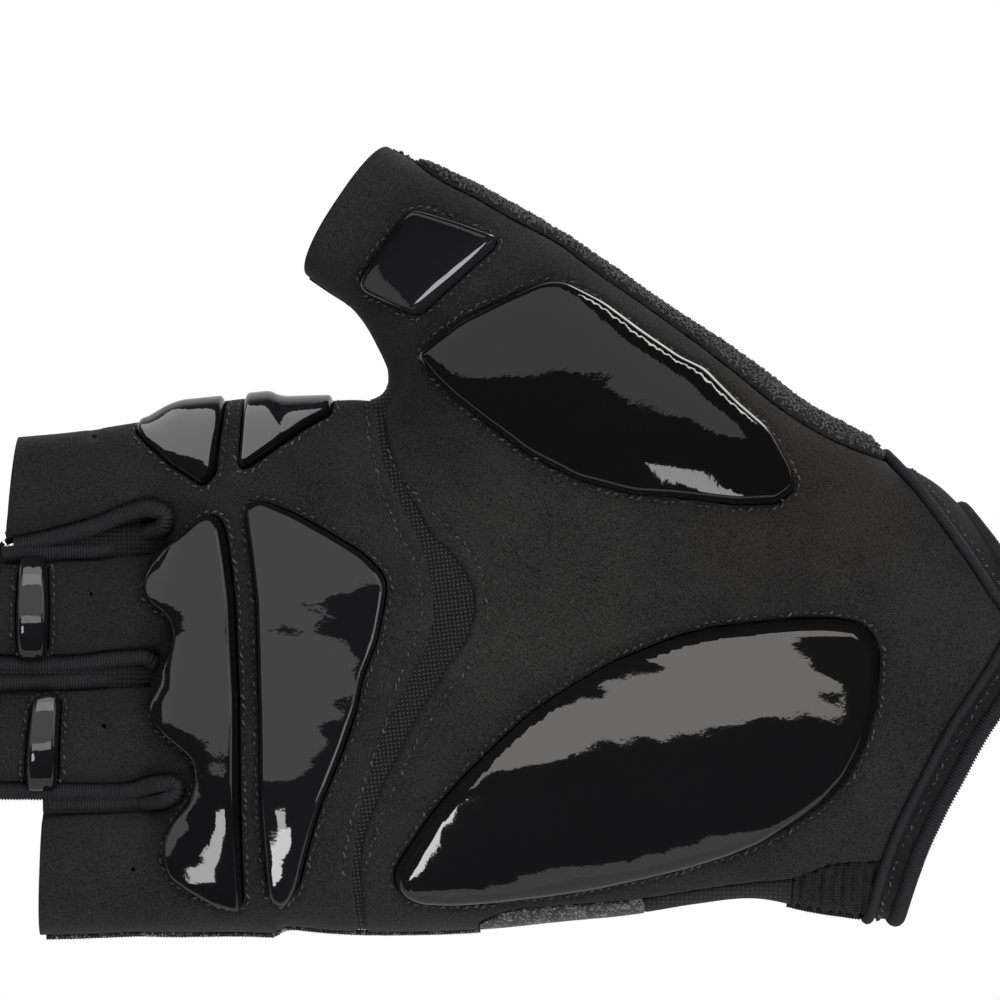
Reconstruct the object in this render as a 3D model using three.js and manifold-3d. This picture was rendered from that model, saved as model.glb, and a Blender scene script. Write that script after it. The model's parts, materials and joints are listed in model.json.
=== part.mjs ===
// A right-hand half-finger cycling glove, held open as it is when worn.
// The palm faces -Y, the forearm side is +X, the finger stalls point to -X and the thumb side is up (+Z).
// The origin is the middle of the wrist opening. All lengths are millimetres.
import * as THREE from 'three'
import { mergeVertices } from 'three/addons/utils/BufferGeometryUtils.js'
import Module from 'manifold-3d'

const wasm = await Module()
wasm.setup()

// Driving dimensions of the worn glove
const palmLength = 118.8 // wrist line to the webs between the finger stalls
const palmBreadth = 89.1 // across the palm, thumb side to little-finger side
const palmDepth = 38 // palm to back of the hand at the wrist
const thumbBreadth = 26.6 // thumb stall, across its mouth
const thumbDepth = 21 // thumb stall, palm side to back
const stallDepth = 18 // finger stall, palm side to back
const indexStall = 17.8 // breadths of the four finger stalls
const middleStall = 19.1
const ringStall = 18.8
const littleStall = 21.8
const stallReach = 33 // how far the longest stall runs past the webs
const wall = 1.6 // suede, knit and their lining of foam
const terryPile = 0.8 // how far the towelling loops stand out of the wall
const insertSink = 0.5 // how far the mesh insert lies below the suede
const seamGap = 0.3 // between sewn panels
const slotSeat = 2.2 // a side wall in a slot takes this much of the stall beside it
const slotFlare = 0.7 // and this much more at the web
const bindingInset = 1 // the binding's leg runs this far in from the edge of its stall
const rollRadius = 1.45 // ribbed binding in the slots
const rollStand = 0.3 // share of that radius between the seat and the middle of the binding
const pipingRadius = 0.95 // roll along the slanted cuff edge
const bandBreadth = 5 // ribbed elastic beyond the piping
const bandWall = 2
const ulnarPipingRadius = 0.45 // silver piping on the little-finger side
const padHeight = 4.2 // how high the two palm pads stand, the others stand a share of it
const padEdge = 1 // how high every gel pad stands at its rim
const gussetDepth = 9.5 // the cuff gusset reaches this far round to the back of the hand
const partingDepth = 2.5 // the palm panels end this far behind the side line of the hand
const holeStep = 60 // a cutter reaches this far past what it cuts

// Sections across the hand, from the forearm to the webs. at is a share of palmLength from the wrist
// line, top and bottom are shares of palmBreadth, front, back and hollow are shares of palmDepth.
const palmSections = [
  { at: -0.271, top: 0.19, bottom: -0.432, front: 0.48, back: 0.5, hollow: 0 },
  { at: -0.16, top: 0.263, bottom: -0.435, front: 0.5, back: 0.5, hollow: 0.01 },
  { at: -0.076, top: 0.372, bottom: -0.437, front: 0.52, back: 0.49, hollow: 0.03 },
  { at: 0, top: 0.422, bottom: -0.435, front: 0.53, back: 0.48, hollow: 0.06 },
  { at: 0.09, top: 0.476, bottom: -0.42, front: 0.53, back: 0.47, hollow: 0.08 },
  { at: 0.174, top: 0.507, bottom: -0.4, front: 0.51, back: 0.455, hollow: 0.1 },
  { at: 0.257, top: 0.519, bottom: -0.41, front: 0.48, back: 0.45, hollow: 0.11 },
  { at: 0.396, top: 0.528, bottom: -0.435, front: 0.44, back: 0.435, hollow: 0.11 },
  { at: 0.535, top: 0.531, bottom: -0.452, front: 0.41, back: 0.42, hollow: 0.09 },
  { at: 0.674, top: 0.531, bottom: -0.459, front: 0.4, back: 0.41, hollow: 0.06 },
  { at: 0.812, top: 0.524, bottom: -0.465, front: 0.39, back: 0.4, hollow: 0.03 },
  { at: 0.924, top: 0.519, bottom: -0.469, front: 0.34, back: 0.38, hollow: 0.01 },
  { at: 0.997, top: 0.509, bottom: -0.469, front: 0.25, back: 0.34, hollow: 0 },
]
const palmSquareness = 2.6
const hollowCentre = 0.05 // share of half the breadth, towards the thumb
const hollowSpread = 0.3

// The thumb stall runs from a point on the cuff side to its mouth, both as shares of the palm's sizes.
const thumbRoot = { at: 0.06, up: 0.294 }
const thumbTip = { at: 0.747, up: 0.883 }
const thumbMouthTilt = 0.24 // the mouth leans back, because the tip points away from the palm side
// Sections across the thumb, from its mouth to the cuff. upper and lower are shares of thumbBreadth,
// forward, front and back are shares of thumbDepth.
const thumbSections = [
  { along: -0.12, upper: 0.46, lower: 0.46, forward: -0.1, front: 0.48, back: 0.48 },
  { along: 0.041, upper: 0.484, lower: 0.497, forward: 0, front: 0.5, back: 0.5 },
  { along: 0.102, upper: 0.516, lower: 0.516, forward: 0.05, front: 0.52, back: 0.52 },
  { along: 0.182, upper: 0.543, lower: 0.646, forward: 0.12, front: 0.56, back: 0.55 },
  { along: 0.238, upper: 0.55, lower: 0.789, forward: 0.15, front: 0.6, back: 0.58 },
  { along: 0.328, upper: 0.561, lower: 0.994, forward: 0.17, front: 0.67, back: 0.62 },
  { along: 0.443, upper: 0.563, lower: 1.118, forward: 0.16, front: 0.76, back: 0.66 },
  { along: 0.562, upper: 0.554, lower: 1.118, forward: 0.12, front: 0.83, back: 0.68 },
  { along: 0.681, upper: 0.545, lower: 1.025, forward: 0.08, front: 0.87, back: 0.7 },
  { along: 0.767, upper: 0.522, lower: 0.87, forward: 0.05, front: 0.88, back: 0.7 },
  { along: 0.849, upper: 0.453, lower: 0.683, forward: 0.02, front: 0.85, back: 0.7 },
  { along: 0.951, upper: 0.44, lower: 0.497, forward: 0, front: 0.76, back: 0.7 },
]
const thumbSquareness = 2.3

// The four half-finger stalls. mouth is a share of stallReach past the webs, rootUp and mouthUp are
// shares of palmBreadth, lean says how far the mouth is cut back towards the little finger.
const stalls = [
  { name: 'index', breadth: indexStall, mouth: 0.79, rootUp: 0.402, mouthUp: 0.361, lean: -0.1 },
  { name: 'middle', breadth: middleStall, mouth: 1, rootUp: 0.148, mouthUp: 0.141, lean: 0 },
  { name: 'ring', breadth: ringStall, mouth: 0.96, rootUp: -0.094, mouthUp: -0.096, lean: 0 },
  { name: 'little', breadth: littleStall, mouth: 0.64, rootUp: -0.344, mouthUp: -0.348, lean: -0.03 },
]
const stallRootAt = 0.86 // the stalls start inside the palm, as a share of palmLength
const stallOverrun = 4 // a stall is drawn this far past its mouth before it is cut
const stallBack = 0.08 // the stalls lie this share of stallDepth behind the side line
const stallSquareness = 2.3

// Slots between the stalls, each between one stall and the next: where it ends in the web, and how far
// its end and its binding's end climb from the middle of the gap, as shares of slotSeat.
const slots = [
  { name: 'index_middle', endAt: 0.99, climb: 0.6, bindingClimb: 1.5 },
  { name: 'middle_ring', endAt: 1.011, climb: 0.14, bindingClimb: 0.6 },
  { name: 'ring_little', endAt: 0.971, climb: -0.05, bindingClimb: 0.77 },
]

// The mesh crescent between the two suede panels: its two edges at each height.
const insertEdges = [
  { up: 0.56, left: 0.71, right: 0.698 },
  { up: 0.481, left: 0.71, right: 0.7 },
  { up: 0.435, left: 0.704, right: 0.694 },
  { up: 0.389, left: 0.692, right: 0.682 },
  { up: 0.343, left: 0.672, right: 0.66 },
  { up: 0.287, left: 0.654, right: 0.621 },
  { up: 0.231, left: 0.64, right: 0.59 },
  { up: 0.176, left: 0.632, right: 0.576 },
  { up: 0.12, left: 0.631, right: 0.574 },
  { up: 0.065, left: 0.635, right: 0.585 },
  { up: 0.009, left: 0.646, right: 0.607 },
  { up: -0.037, left: 0.66, right: 0.632 },
  { up: -0.093, left: 0.678, right: 0.658 },
  { up: -0.148, left: 0.694, right: 0.678 },
  { up: -0.204, left: 0.711, right: 0.696 },
  { up: -0.259, left: 0.724, right: 0.711 },
  { up: -0.306, left: 0.734, right: 0.722 },
  { up: -0.361, left: 0.738, right: 0.726 },
  { up: -0.55, left: 0.74, right: 0.728 },
]

// Seams drawn on the palm side, as shares of palmLength and palmBreadth.
const thumbSeam = [
  { at: 0.72, up: 1.05 }, { at: 0.662, up: 0.985 }, { at: 0.622, up: 0.943 }, { at: 0.565, up: 0.902 },
  { at: 0.519, up: 0.867 }, { at: 0.45, up: 0.817 }, { at: 0.404, up: 0.77 }, { at: 0.347, up: 0.717 },
  { at: 0.267, up: 0.641 }, { at: 0.208, up: 0.58 }, { at: 0.151, up: 0.519 }, { at: 0.076, up: 0.457 },
  { at: 0.001, up: 0.419 }, { at: -0.25, up: 0.37 },
]
const ulnarSeam = [
  { at: 0.562, up: -0.444 }, { at: 0.528, up: -0.424 }, { at: 0.451, up: -0.413 }, { at: 0.333, up: -0.4 },
  { at: 0.257, up: -0.383 }, { at: 0.185, up: -0.369 }, { at: 0.128, up: -0.359 }, { at: 0.082, up: -0.333 },
  { at: 0.018, up: -0.326 }, { at: -0.25, up: -0.326 },
]
// What lies below that seam, from which of its points to which
const ulnarPieces = { patch: [0, 3], edging: [3, 6], gusset: [6, 9] }
const backThumbSeam = [
  { at: 0.69, up: 0.533 }, { at: 0.632, up: 0.483 }, { at: 0.535, up: 0.439 }, { at: 0.396, up: 0.398 },
  { at: 0.201, up: 0.357 }, { at: 0.001, up: 0.315 }, { at: -0.25, up: 0.26 },
]

// The cuff seam comes to a blunt point over the heel of the palm.
const cuffSeam = [
  { up: 0.6, at: 0.06 }, { up: 0.481, at: 0.024 }, { up: 0.426, at: -0.003 }, { up: 0.367, at: -0.042 },
  { up: 0.3, at: -0.079 }, { up: 0.231, at: -0.115 }, { up: 0.172, at: -0.144 }, { up: 0.13, at: -0.163 },
  { up: 0.098, at: -0.164 }, { up: 0.056, at: -0.15 }, { up: -0.009, at: -0.119 },
  { up: -0.074, at: -0.087 }, { up: -0.148, at: -0.056 }, { up: -0.222, at: -0.028 },
  { up: -0.287, at: -0.007 }, { up: -0.343, at: 0.007 }, { up: -0.398, at: 0.017 },
  { up: -0.55, at: 0.026 },
]

// Gel pads. Each is a ladder of rungs across its outline: rungs along the hand have top and bottom,
// rungs up the hand have left and right. height is a share of padHeight.
const pads = [
  { name: 'thumb_pad', height: 0.62, rungs: [
    { at: 0.727, top: 0.757, bottom: 0.744 }, { at: 0.715, top: 0.783, bottom: 0.724 },
    { at: 0.688, top: 0.831, bottom: 0.704 }, { at: 0.662, top: 0.872, bottom: 0.687 },
    { at: 0.649, top: 0.878, bottom: 0.678 }, { at: 0.639, top: 0.876, bottom: 0.691 },
    { at: 0.604, top: 0.861, bottom: 0.728 }, { at: 0.569, top: 0.85, bottom: 0.769 },
    { at: 0.542, top: 0.837, bottom: 0.809 }, { at: 0.535, top: 0.83, bottom: 0.819 },
  ] },
  { name: 'thenar_pad', height: 1, rungs: [
    { at: 0.645, top: 0.617, bottom: 0.609 }, { at: 0.635, top: 0.639, bottom: 0.591 },
    { at: 0.611, top: 0.661, bottom: 0.55 }, { at: 0.562, top: 0.691, bottom: 0.487 },
    { at: 0.507, top: 0.724, bottom: 0.439 }, { at: 0.465, top: 0.741, bottom: 0.413 },
    { at: 0.438, top: 0.737, bottom: 0.398 }, { at: 0.396, top: 0.709, bottom: 0.38 },
    { at: 0.326, top: 0.65, bottom: 0.357 }, { at: 0.257, top: 0.581, bottom: 0.343 },
    { at: 0.201, top: 0.513, bottom: 0.335 }, { at: 0.16, top: 0.454, bottom: 0.333 },
    { at: 0.138, top: 0.406, bottom: 0.339 }, { at: 0.13, top: 0.372, bottom: 0.354 },
  ] },
  { name: 'hypothenar_pad', height: 1, rungs: [
    { at: 0.682, top: -0.346, bottom: -0.372 }, { at: 0.671, top: -0.32, bottom: -0.393 },
    { at: 0.639, top: -0.272, bottom: -0.402 }, { at: 0.576, top: -0.185, bottom: -0.404 },
    { at: 0.493, top: -0.072, bottom: -0.396 }, { at: 0.396, top: 0.02, bottom: -0.381 },
    { at: 0.299, top: 0.08, bottom: -0.352 }, { at: 0.201, top: 0.109, bottom: -0.309 },
    { at: 0.118, top: 0.122, bottom: -0.25 }, { at: 0.056, top: 0.122, bottom: -0.172 },
    { at: 0.026, top: 0.106, bottom: -0.093 }, { at: 0.013, top: 0.065, bottom: -0.028 },
  ] },
  { name: 'index_pad_outer', height: 0.57, rungs: [
    { at: 1.042, top: 0.483, bottom: 0.472 }, { at: 1.032, top: 0.494, bottom: 0.454 },
    { at: 1.007, top: 0.504, bottom: 0.433 }, { at: 0.972, top: 0.512, bottom: 0.4 },
    { at: 0.944, top: 0.512, bottom: 0.378 }, { at: 0.932, top: 0.512, bottom: 0.38 },
    { at: 0.924, top: 0.51, bottom: 0.413 }, { at: 0.915, top: 0.508, bottom: 0.481 },
  ] },
  { name: 'index_pad_inner', height: 0.57, rungs: [
    { at: 0.898, top: 0.431, bottom: 0.404 }, { at: 0.893, top: 0.472, bottom: 0.4 },
    { at: 0.887, top: 0.508, bottom: 0.406 }, { at: 0.868, top: 0.515, bottom: 0.42 },
    { at: 0.833, top: 0.517, bottom: 0.461 }, { at: 0.806, top: 0.516, bottom: 0.483 },
    { at: 0.778, top: 0.515, bottom: 0.5 },
  ] },
  { name: 'knuckle_pad', height: 0.81, rungs: [
    { up: 0.315, left: 0.94, right: 0.921 }, { up: 0.302, left: 0.957, right: 0.915 },
    { up: 0.269, left: 0.983, right: 0.91 }, { up: 0.231, left: 1.01, right: 0.904 },
    { up: 0.194, left: 1.025, right: 0.901 }, { up: 0.172, left: 1.028, right: 0.9 },
    { up: 0.148, left: 1.012, right: 0.899 }, { up: 0.124, left: 0.989, right: 0.897 },
    { up: 0.098, left: 0.979, right: 0.896 }, { up: 0.065, left: 0.982, right: 0.896 },
    { up: 0.019, left: 0.999, right: 0.896 }, { up: -0.028, left: 1.014, right: 0.896 },
    { up: -0.061, left: 1.018, right: 0.896 }, { up: -0.087, left: 1.007, right: 0.896 },
    { up: -0.111, left: 0.972, right: 0.896 }, { up: -0.139, left: 0.953, right: 0.896 },
    { up: -0.176, left: 0.949, right: 0.896 }, { up: -0.213, left: 0.957, right: 0.894 },
    { up: -0.259, left: 0.979, right: 0.894 }, { up: -0.306, left: 0.996, right: 0.893 },
    { up: -0.343, left: 0.996, right: 0.892 }, { up: -0.37, left: 0.979, right: 0.89 },
    { up: -0.394, left: 0.944, right: 0.89 }, { up: -0.409, left: 0.907, right: 0.892 },
  ] },
  { name: 'palm_bar_pad', height: 0.81, rungs: [
    { up: 0.343, left: 0.876, right: 0.854 }, { up: 0.328, left: 0.885, right: 0.833 },
    { up: 0.296, left: 0.885, right: 0.792 }, { up: 0.259, left: 0.879, right: 0.743 },
    { up: 0.222, left: 0.874, right: 0.704 }, { up: 0.194, left: 0.871, right: 0.693 },
    { up: 0.167, left: 0.869, right: 0.692 }, { up: 0.12, left: 0.868, right: 0.697 },
    { up: 0.046, left: 0.865, right: 0.711 }, { up: -0.028, left: 0.865, right: 0.732 },
    { up: -0.102, left: 0.864, right: 0.754 }, { up: -0.176, left: 0.863, right: 0.776 },
    { up: -0.25, left: 0.861, right: 0.794 }, { up: -0.324, left: 0.858, right: 0.81 },
    { up: -0.38, left: 0.853, right: 0.821 }, { up: -0.4, left: 0.843, right: 0.829 },
  ] },
  { name: 'middle_finger_pad', height: 0.57, rungs: [
    { up: 0.23, left: 1.201, right: 1.163 }, { up: 0.19, left: 1.204, right: 1.161 },
    { up: 0.145, left: 1.205, right: 1.16 }, { up: 0.1, left: 1.205, right: 1.16 },
    { up: 0.056, left: 1.203, right: 1.162 },
  ] },
  { name: 'ring_finger_pad', height: 0.57, rungs: [
    { up: -0.02, left: 1.182, right: 1.144 }, { up: -0.06, left: 1.186, right: 1.145 },
    { up: -0.102, left: 1.19, right: 1.146 }, { up: -0.146, left: 1.194, right: 1.147 },
    { up: -0.172, left: 1.194, right: 1.15 },
  ] },
]

// How finely the faceted solids are drawn
const palmSides = 34
const thumbSides = 22
const stallSides = 18
const innerFineness = 0.75 // the inside of the hand is drawn with fewer sides
const pipingSteps = 44
const pipingPasses = 12 // the piping settles on the cuff seam in this many steps
const rollSides = 6
const ulnarStops = 11
const bendTurns = [0.25, 0.5, 0.75].map((share) => share * Math.PI)
const climbPower = 4 // a binding climbs only near its end
const legStops = [0, 0.5, 0.7, 0.86, 1] // closer together where a binding climbs the palm
const padColumns = 5
const padSink = 1.2 // a pad's solid starts this deep before its seat is cut
const sideMargin = 0.2 // a pad's rim stays this far inside the side line of the hand
const sameSpot = 1e-5 // points nearer than this are one
const slopeReach = 0.6 // a surface normal is read over this distance
const clearOfThumb = 3 // the palm's outline passes this far over the crotch of the thumb

// Finishes
const suede = new THREE.MeshStandardMaterial({ color: 0x242424, roughness: 0.95, metalness: 0 })
const knit = new THREE.MeshStandardMaterial({ color: 0x1c1c1e, roughness: 0.9, metalness: 0 })
const terry = new THREE.MeshStandardMaterial({ color: 0x343436, roughness: 1, metalness: 0 })
const ribbed = new THREE.MeshStandardMaterial({ color: 0x17171a, roughness: 0.8, metalness: 0 })
const gel = new THREE.MeshStandardMaterial({ color: 0x050506, roughness: 0.06, metalness: 0 })
const silver = new THREE.MeshStandardMaterial({ color: 0x8c8e92, roughness: 0.4, metalness: 0.6 })

// Places in the hand's plane
const corner = (x, z) => new THREE.Vector2(x, z)
const xOf = (at) => -at * palmLength
const zOf = (up) => up * palmBreadth
const spot = ({ at, up }) => corner(xOf(at), zOf(up))
const webX = xOf(palmSections.at(-1).at)
const palmMiddle = corner(webX / 2, 0)

// Reading a table between its rows
function readTable(rows, key, value) {
  const last = rows.length - 1
  const rising = rows[last][key] > rows[0][key]
  let i = 0
  while (i < last - 1 && (rows[i + 1][key] < value) === rising) i += 1
  const t = THREE.MathUtils.clamp((value - rows[i][key]) / (rows[i + 1][key] - rows[i][key]), 0, 1)
  const row = {}
  for (const name of Object.keys(rows[i])) {
    row[name] = THREE.MathUtils.lerp(rows[i][name], rows[i + 1][name], t)
  }
  return row
}

// A tube of flesh: a frame in the hand's plane and a section at each place along it. A section gives
// the middle and half breadth across, the middle of its depth, and its depths to the front and back.
function palmTube() {
  const rows = palmSections.map((row) => ({ s: xOf(row.at), ...row }))
  return {
    origin: corner(0, 0),
    along: corner(1, 0),
    across: corner(0, 1),
    squareness: palmSquareness,
    stops: rows.map((row) => row.s),
    sides: palmSides,
    section(s) {
      const row = readTable(rows, 's', s)
      return {
        middle: zOf(row.top + row.bottom) / 2,
        half: zOf(row.top - row.bottom) / 2,
        depth: 0,
        front: row.front * palmDepth,
        back: row.back * palmDepth,
        hollow: row.hollow * palmDepth,
      }
    },
  }
}

function thumbTube() {
  const tip = spot(thumbTip)
  const span = spot(thumbRoot).sub(tip)
  const along = span.clone().normalize()
  const rows = thumbSections.map((row) => ({ s: row.along * span.length(), ...row }))
  return {
    origin: tip,
    along,
    across: corner(-along.y, along.x),
    squareness: thumbSquareness,
    stops: rows.map((row) => row.s),
    sides: thumbSides,
    section(s) {
      const row = readTable(rows, 's', s)
      return {
        middle: ((row.upper - row.lower) * thumbBreadth) / 2,
        half: ((row.upper + row.lower) * thumbBreadth) / 2,
        depth: -row.forward * thumbDepth,
        front: row.front * thumbDepth,
        back: row.back * thumbDepth,
        hollow: 0,
      }
    },
  }
}

function stallTube(stall) {
  const root = corner(xOf(stallRootAt), zOf(stall.rootUp))
  const mouth = corner(webX - stall.mouth * stallReach, zOf(stall.mouthUp))
  const span = root.clone().sub(mouth)
  const along = span.clone().normalize()
  return {
    origin: mouth,
    along,
    across: corner(-along.y, along.x),
    squareness: stallSquareness,
    stops: [-stallOverrun, span.length() / 2, span.length()],
    sides: stallSides,
    section() {
      return {
        middle: 0,
        half: stall.breadth / 2,
        depth: stallBack * stallDepth,
        front: stallDepth / 2,
        back: stallDepth / 2,
        hollow: 0,
      }
    },
  }
}

const palm = palmTube()
const thumb = thumbTube()
const fingerTubes = stalls.map(stallTube)
const tubes = [palm, thumb, ...fingerTubes]

function place(tube, s, t) {
  return tube.origin.clone().addScaledVector(tube.along, s).addScaledVector(tube.across, t)
}

function hollowAt(section, share) {
  const offset = (share - hollowCentre) / hollowSpread
  return section.hollow * Math.exp(-offset * offset)
}

// A point of the section's outline, grown by a margin: how far across and how deep
function outlineAt(section, squareness, angle, margin) {
  const share = Math.sign(Math.cos(angle)) * Math.abs(Math.cos(angle)) ** (2 / squareness)
  const bulge = Math.abs(Math.sin(angle)) ** (2 / squareness)
  const isFront = Math.sin(angle) > 0
  const reach = isFront ? -(section.front - hollowAt(section, share) + margin) : section.back + margin
  return { across: section.middle + share * (section.half + margin), depth: section.depth + reach * bulge }
}

// The front surface of one tube over a point of the hand's plane, or none if the point is beside it
function tubeFront(tube, x, z) {
  const rel = corner(x, z).sub(tube.origin)
  const s = rel.dot(tube.along)
  const ends = [tube.stops[0], tube.stops.at(-1)]
  if (s < Math.min(...ends) || s > Math.max(...ends)) return Infinity
  const section = tube.section(s)
  const share = (rel.dot(tube.across) - section.middle) / section.half
  if (Math.abs(share) > 1) return Infinity
  const bulge = (1 - Math.abs(share) ** tube.squareness) ** (1 / tube.squareness)
  return section.depth - section.front * bulge + hollowAt(section, share) * bulge
}

const frontDepth = (x, z) => Math.min(...tubes.map((tube) => tubeFront(tube, x, z)))

// The surface point over a point of the hand's plane, and its outward normal. A point past the side line
// or between two stalls slides towards the middle of the palm until it is on the surface.
function frontSpot(flat) {
  const inward = palmMiddle.clone().sub(flat).setLength(sideMargin)
  const isOff = (point) => !Number.isFinite(frontDepth(point.x, point.y))
  const rim = flat.clone()
  while (isOff(rim) || isOff(rim.clone().sub(inward))) rim.add(inward)
  const { x, y: z } = rim
  const here = frontDepth(x, z)
  const slope = (dx, dz) => {
    const ahead = frontDepth(x + dx, z + dz)
    const behind = frontDepth(x - dx, z - dz)
    if (Number.isFinite(ahead) && Number.isFinite(behind)) return (ahead - behind) / (2 * slopeReach)
    return Number.isFinite(ahead) ? (ahead - here) / slopeReach : (here - behind) / slopeReach
  }
  const normal = new THREE.Vector3(slope(slopeReach, 0), -1, slope(0, slopeReach)).normalize()
  return { point: new THREE.Vector3(x, here, z), normal }
}

// Solids
function solidOf(geometry) {
  geometry.deleteAttribute('normal')
  geometry.deleteAttribute('uv')
  const merged = mergeVertices(geometry, sameSpot)
  return new wasm.Manifold(new wasm.Mesh({
    numProp: 3,
    vertProperties: new Float32Array(merged.attributes.position.array),
    triVerts: new Uint32Array(merged.index.array),
  }))
}

function unite(solids) {
  return solids.reduce((sum, solid) => sum.add(solid))
}

// A closed skin through rings of the same number of points
function skinOf(rings, looped = false) {
  const count = rings[0].length
  const points = rings.flat()
  const faces = []
  const spans = looped ? rings.length : rings.length - 1
  for (let i = 0; i < spans; i += 1) {
    const a = i * count
    const b = ((i + 1) % rings.length) * count
    for (let j = 0; j < count; j += 1) {
      const k = (j + 1) % count
      faces.push([a + j, a + k, b + k], [a + j, b + k, b + j])
    }
  }
  const ends = looped ? [] : [0, rings.length - 1]
  for (const end of ends) {
    const middle = points.length
    const first = end * count
    points.push(rings[end].reduce((sum, point) => sum.add(point), new THREE.Vector3()).divideScalar(count))
    for (let j = 0; j < count; j += 1) {
      const edge = [first + j, first + ((j + 1) % count)]
      faces.push(end === 0 ? [middle, edge[1], edge[0]] : [middle, edge[0], edge[1]])
    }
  }
  const cone = ([i, j, k]) => points[i].dot(new THREE.Vector3().crossVectors(points[j], points[k]))
  const isInsideOut = faces.reduce((sum, face) => sum + cone(face), 0) < 0
  if (isInsideOut) faces.forEach((face) => face.reverse())
  const geometry = new THREE.BufferGeometry().setFromPoints(points)
  geometry.setIndex(faces.flat())
  return solidOf(geometry)
}

// One ring of a tube's skin, grown outwards by a margin
function tubeRing(tube, s, margin, sides) {
  const section = tube.section(s)
  return Array.from({ length: sides }, (_, k) => {
    const { across, depth } = outlineAt(section, tube.squareness, (k / sides) * 2 * Math.PI, margin)
    const flat = place(tube, s, across)
    return new THREE.Vector3(flat.x, depth, flat.y)
  })
}

function tubeSolid(tube, margin, fineness, shift) {
  const stops = [...tube.stops]
  stops[stops.length - 1] += shift
  return skinOf(stops.map((s) => tubeRing(tube, s, margin, Math.round(tube.sides * fineness))))
}

// A prism through the hand along Y over an outline in the hand's plane
function prism(outline, front = -holeStep, back = holeStep) {
  const settings = { depth: back - front, bevelEnabled: false }
  const geometry = new THREE.ExtrudeGeometry(new THREE.Shape(outline), settings)
  geometry.rotateX(Math.PI / 2)
  geometry.translate(0, back, 0)
  return solidOf(geometry)
}

// The same line moved sideways by a distance, to the left of its direction
function besideLine(line, distance) {
  return line.map((point, i) => {
    const ahead = line[Math.min(i + 1, line.length - 1)]
    const behind = line[Math.max(i - 1, 0)]
    const way = ahead.clone().sub(behind).normalize()
    return point.clone().add(corner(-way.y, way.x).multiplyScalar(distance))
  })
}

// A block that covers everything past a mouth
function mouthCutter(point, across, lean) {
  const block = new THREE.BoxGeometry(holeStep, holeStep * 2, holeStep)
  block.translate(-holeStep / 2, 0, 0)
  block.rotateZ(-Math.atan(lean))
  block.rotateY(across)
  block.translate(point.x, 0, point.y)
  return solidOf(block)
}

const mouthCutters = [
  mouthCutter(thumb.origin, -Math.atan2(thumb.along.y, thumb.along.x), thumbMouthTilt),
  ...fingerTubes.map((tube, i) => mouthCutter(tube.origin, -Math.atan(stalls[i].lean), 0)),
]

// The outside of the whole hand, grown by a margin, with each stall cut off at its mouth
const handSkin = (margin) => unite([
  tubeSolid(palm, margin, 1, 0),
  ...[thumb, ...fingerTubes].map((tube, i) => tubeSolid(tube, margin, 1, 0).subtract(mouthCutters[i])),
])

// The room inside, which runs out through every mouth
const handRoom = unite([
  tubeSolid(palm, -wall, innerFineness, wall),
  ...[thumb, ...fingerTubes].map((tube) => tubeSolid(tube, -wall, innerFineness, 0)),
])

// Seams in the hand's plane, each held half a gap away from its panels
const halfGap = seamGap / 2
const far = 300 // well past the glove
const shifted = (line, dx, dz) => line.map((point) => corner(point.x + dx, point.y + dz))
const insertLeft = insertEdges.map(({ up, left }) => corner(xOf(left), zOf(up)))
const insertRight = insertEdges.map(({ up, right }) => corner(xOf(right), zOf(up)))
const thumbLine = thumbSeam.map(spot)
const ulnarLine = ulnarSeam.map(spot)
const backThumbLine = backThumbSeam.map(spot)
const cuffLine = cuffSeam.map(spot)
const crotch = insertLeft[0]

// Everything on one side of a seam that runs towards the cuff
const above = (line, margin) => prism([
  ...shifted(line, 0, margin), corner(far, line.at(-1).y), corner(far, far), corner(line[0].x, far),
])
// Everything between two depths
const slab = (front, back) => prism([
  corner(-far, -far), corner(far, -far), corner(far, far), corner(-far, far),
], front, back)

// The hand's side of the cuff line, and the strip of elastic beyond it
function cuffSides() {
  const room = pipingRadius + seamGap
  const inside = besideLine(cuffLine, -room)
  const near = besideLine(cuffLine, room)
  const edge = besideLine(cuffLine, room + bandBreadth)
  return {
    handSide: prism([...inside, corner(-far, inside.at(-1).y), corner(-far, far), corner(inside[0].x, far)]),
    bandStrip: prism([...near, ...edge.toReversed()]),
  }
}
const { handSide, bandStrip } = cuffSides()

// The wall of the hand, and its palm half and back half
const body = handSkin(0).subtract(handRoom).intersect(handSide)
const frontHalf = slab(-holeStep, partingDepth - halfGap)
const backHalf = slab(partingDepth + halfGap, holeStep)
const frontBody = body.intersect(frontHalf)

// The gap between two neighbouring stalls at one place along them: its middle and half its breadth
function stallGap(slot, x) {
  const [above, below] = [0, 1].map((k) => {
    const tube = fingerTubes[slots.indexOf(slot) + k]
    const centre = tube.origin.y + ((x - tube.origin.x) / tube.along.x) * tube.along.y
    return centre + (k - 0.5) * 2 * tube.section().half
  })
  return { middle: (above + below) / 2, half: (above - below) / 2 }
}

// A slot takes the facing walls of two stalls and the web between them
function slotPrism(slot, margin) {
  const endX = xOf(slot.endAt)
  const mouthX = webX - stallReach - seamGap
  const web = stallGap(slot, endX)
  const mouth = stallGap(slot, mouthX)
  const webHalf = web.half + slotSeat + slotFlare + margin
  const mouthHalf = mouth.half + slotSeat + margin
  const endUp = web.middle + slot.climb * slotSeat
  return prism([
    corner(endX + slotSeat + web.half + margin, endUp + webHalf), corner(endX, endUp + webHalf),
    corner(mouthX, mouth.middle + mouthHalf), corner(mouthX, mouth.middle - mouthHalf),
    corner(endX, endUp - webHalf), corner(endX + slotSeat + web.half + margin, endUp - webHalf),
  ])
}
const slotCuts = unite(slots.map((slot) => slotPrism(slot, halfGap)))

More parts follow.
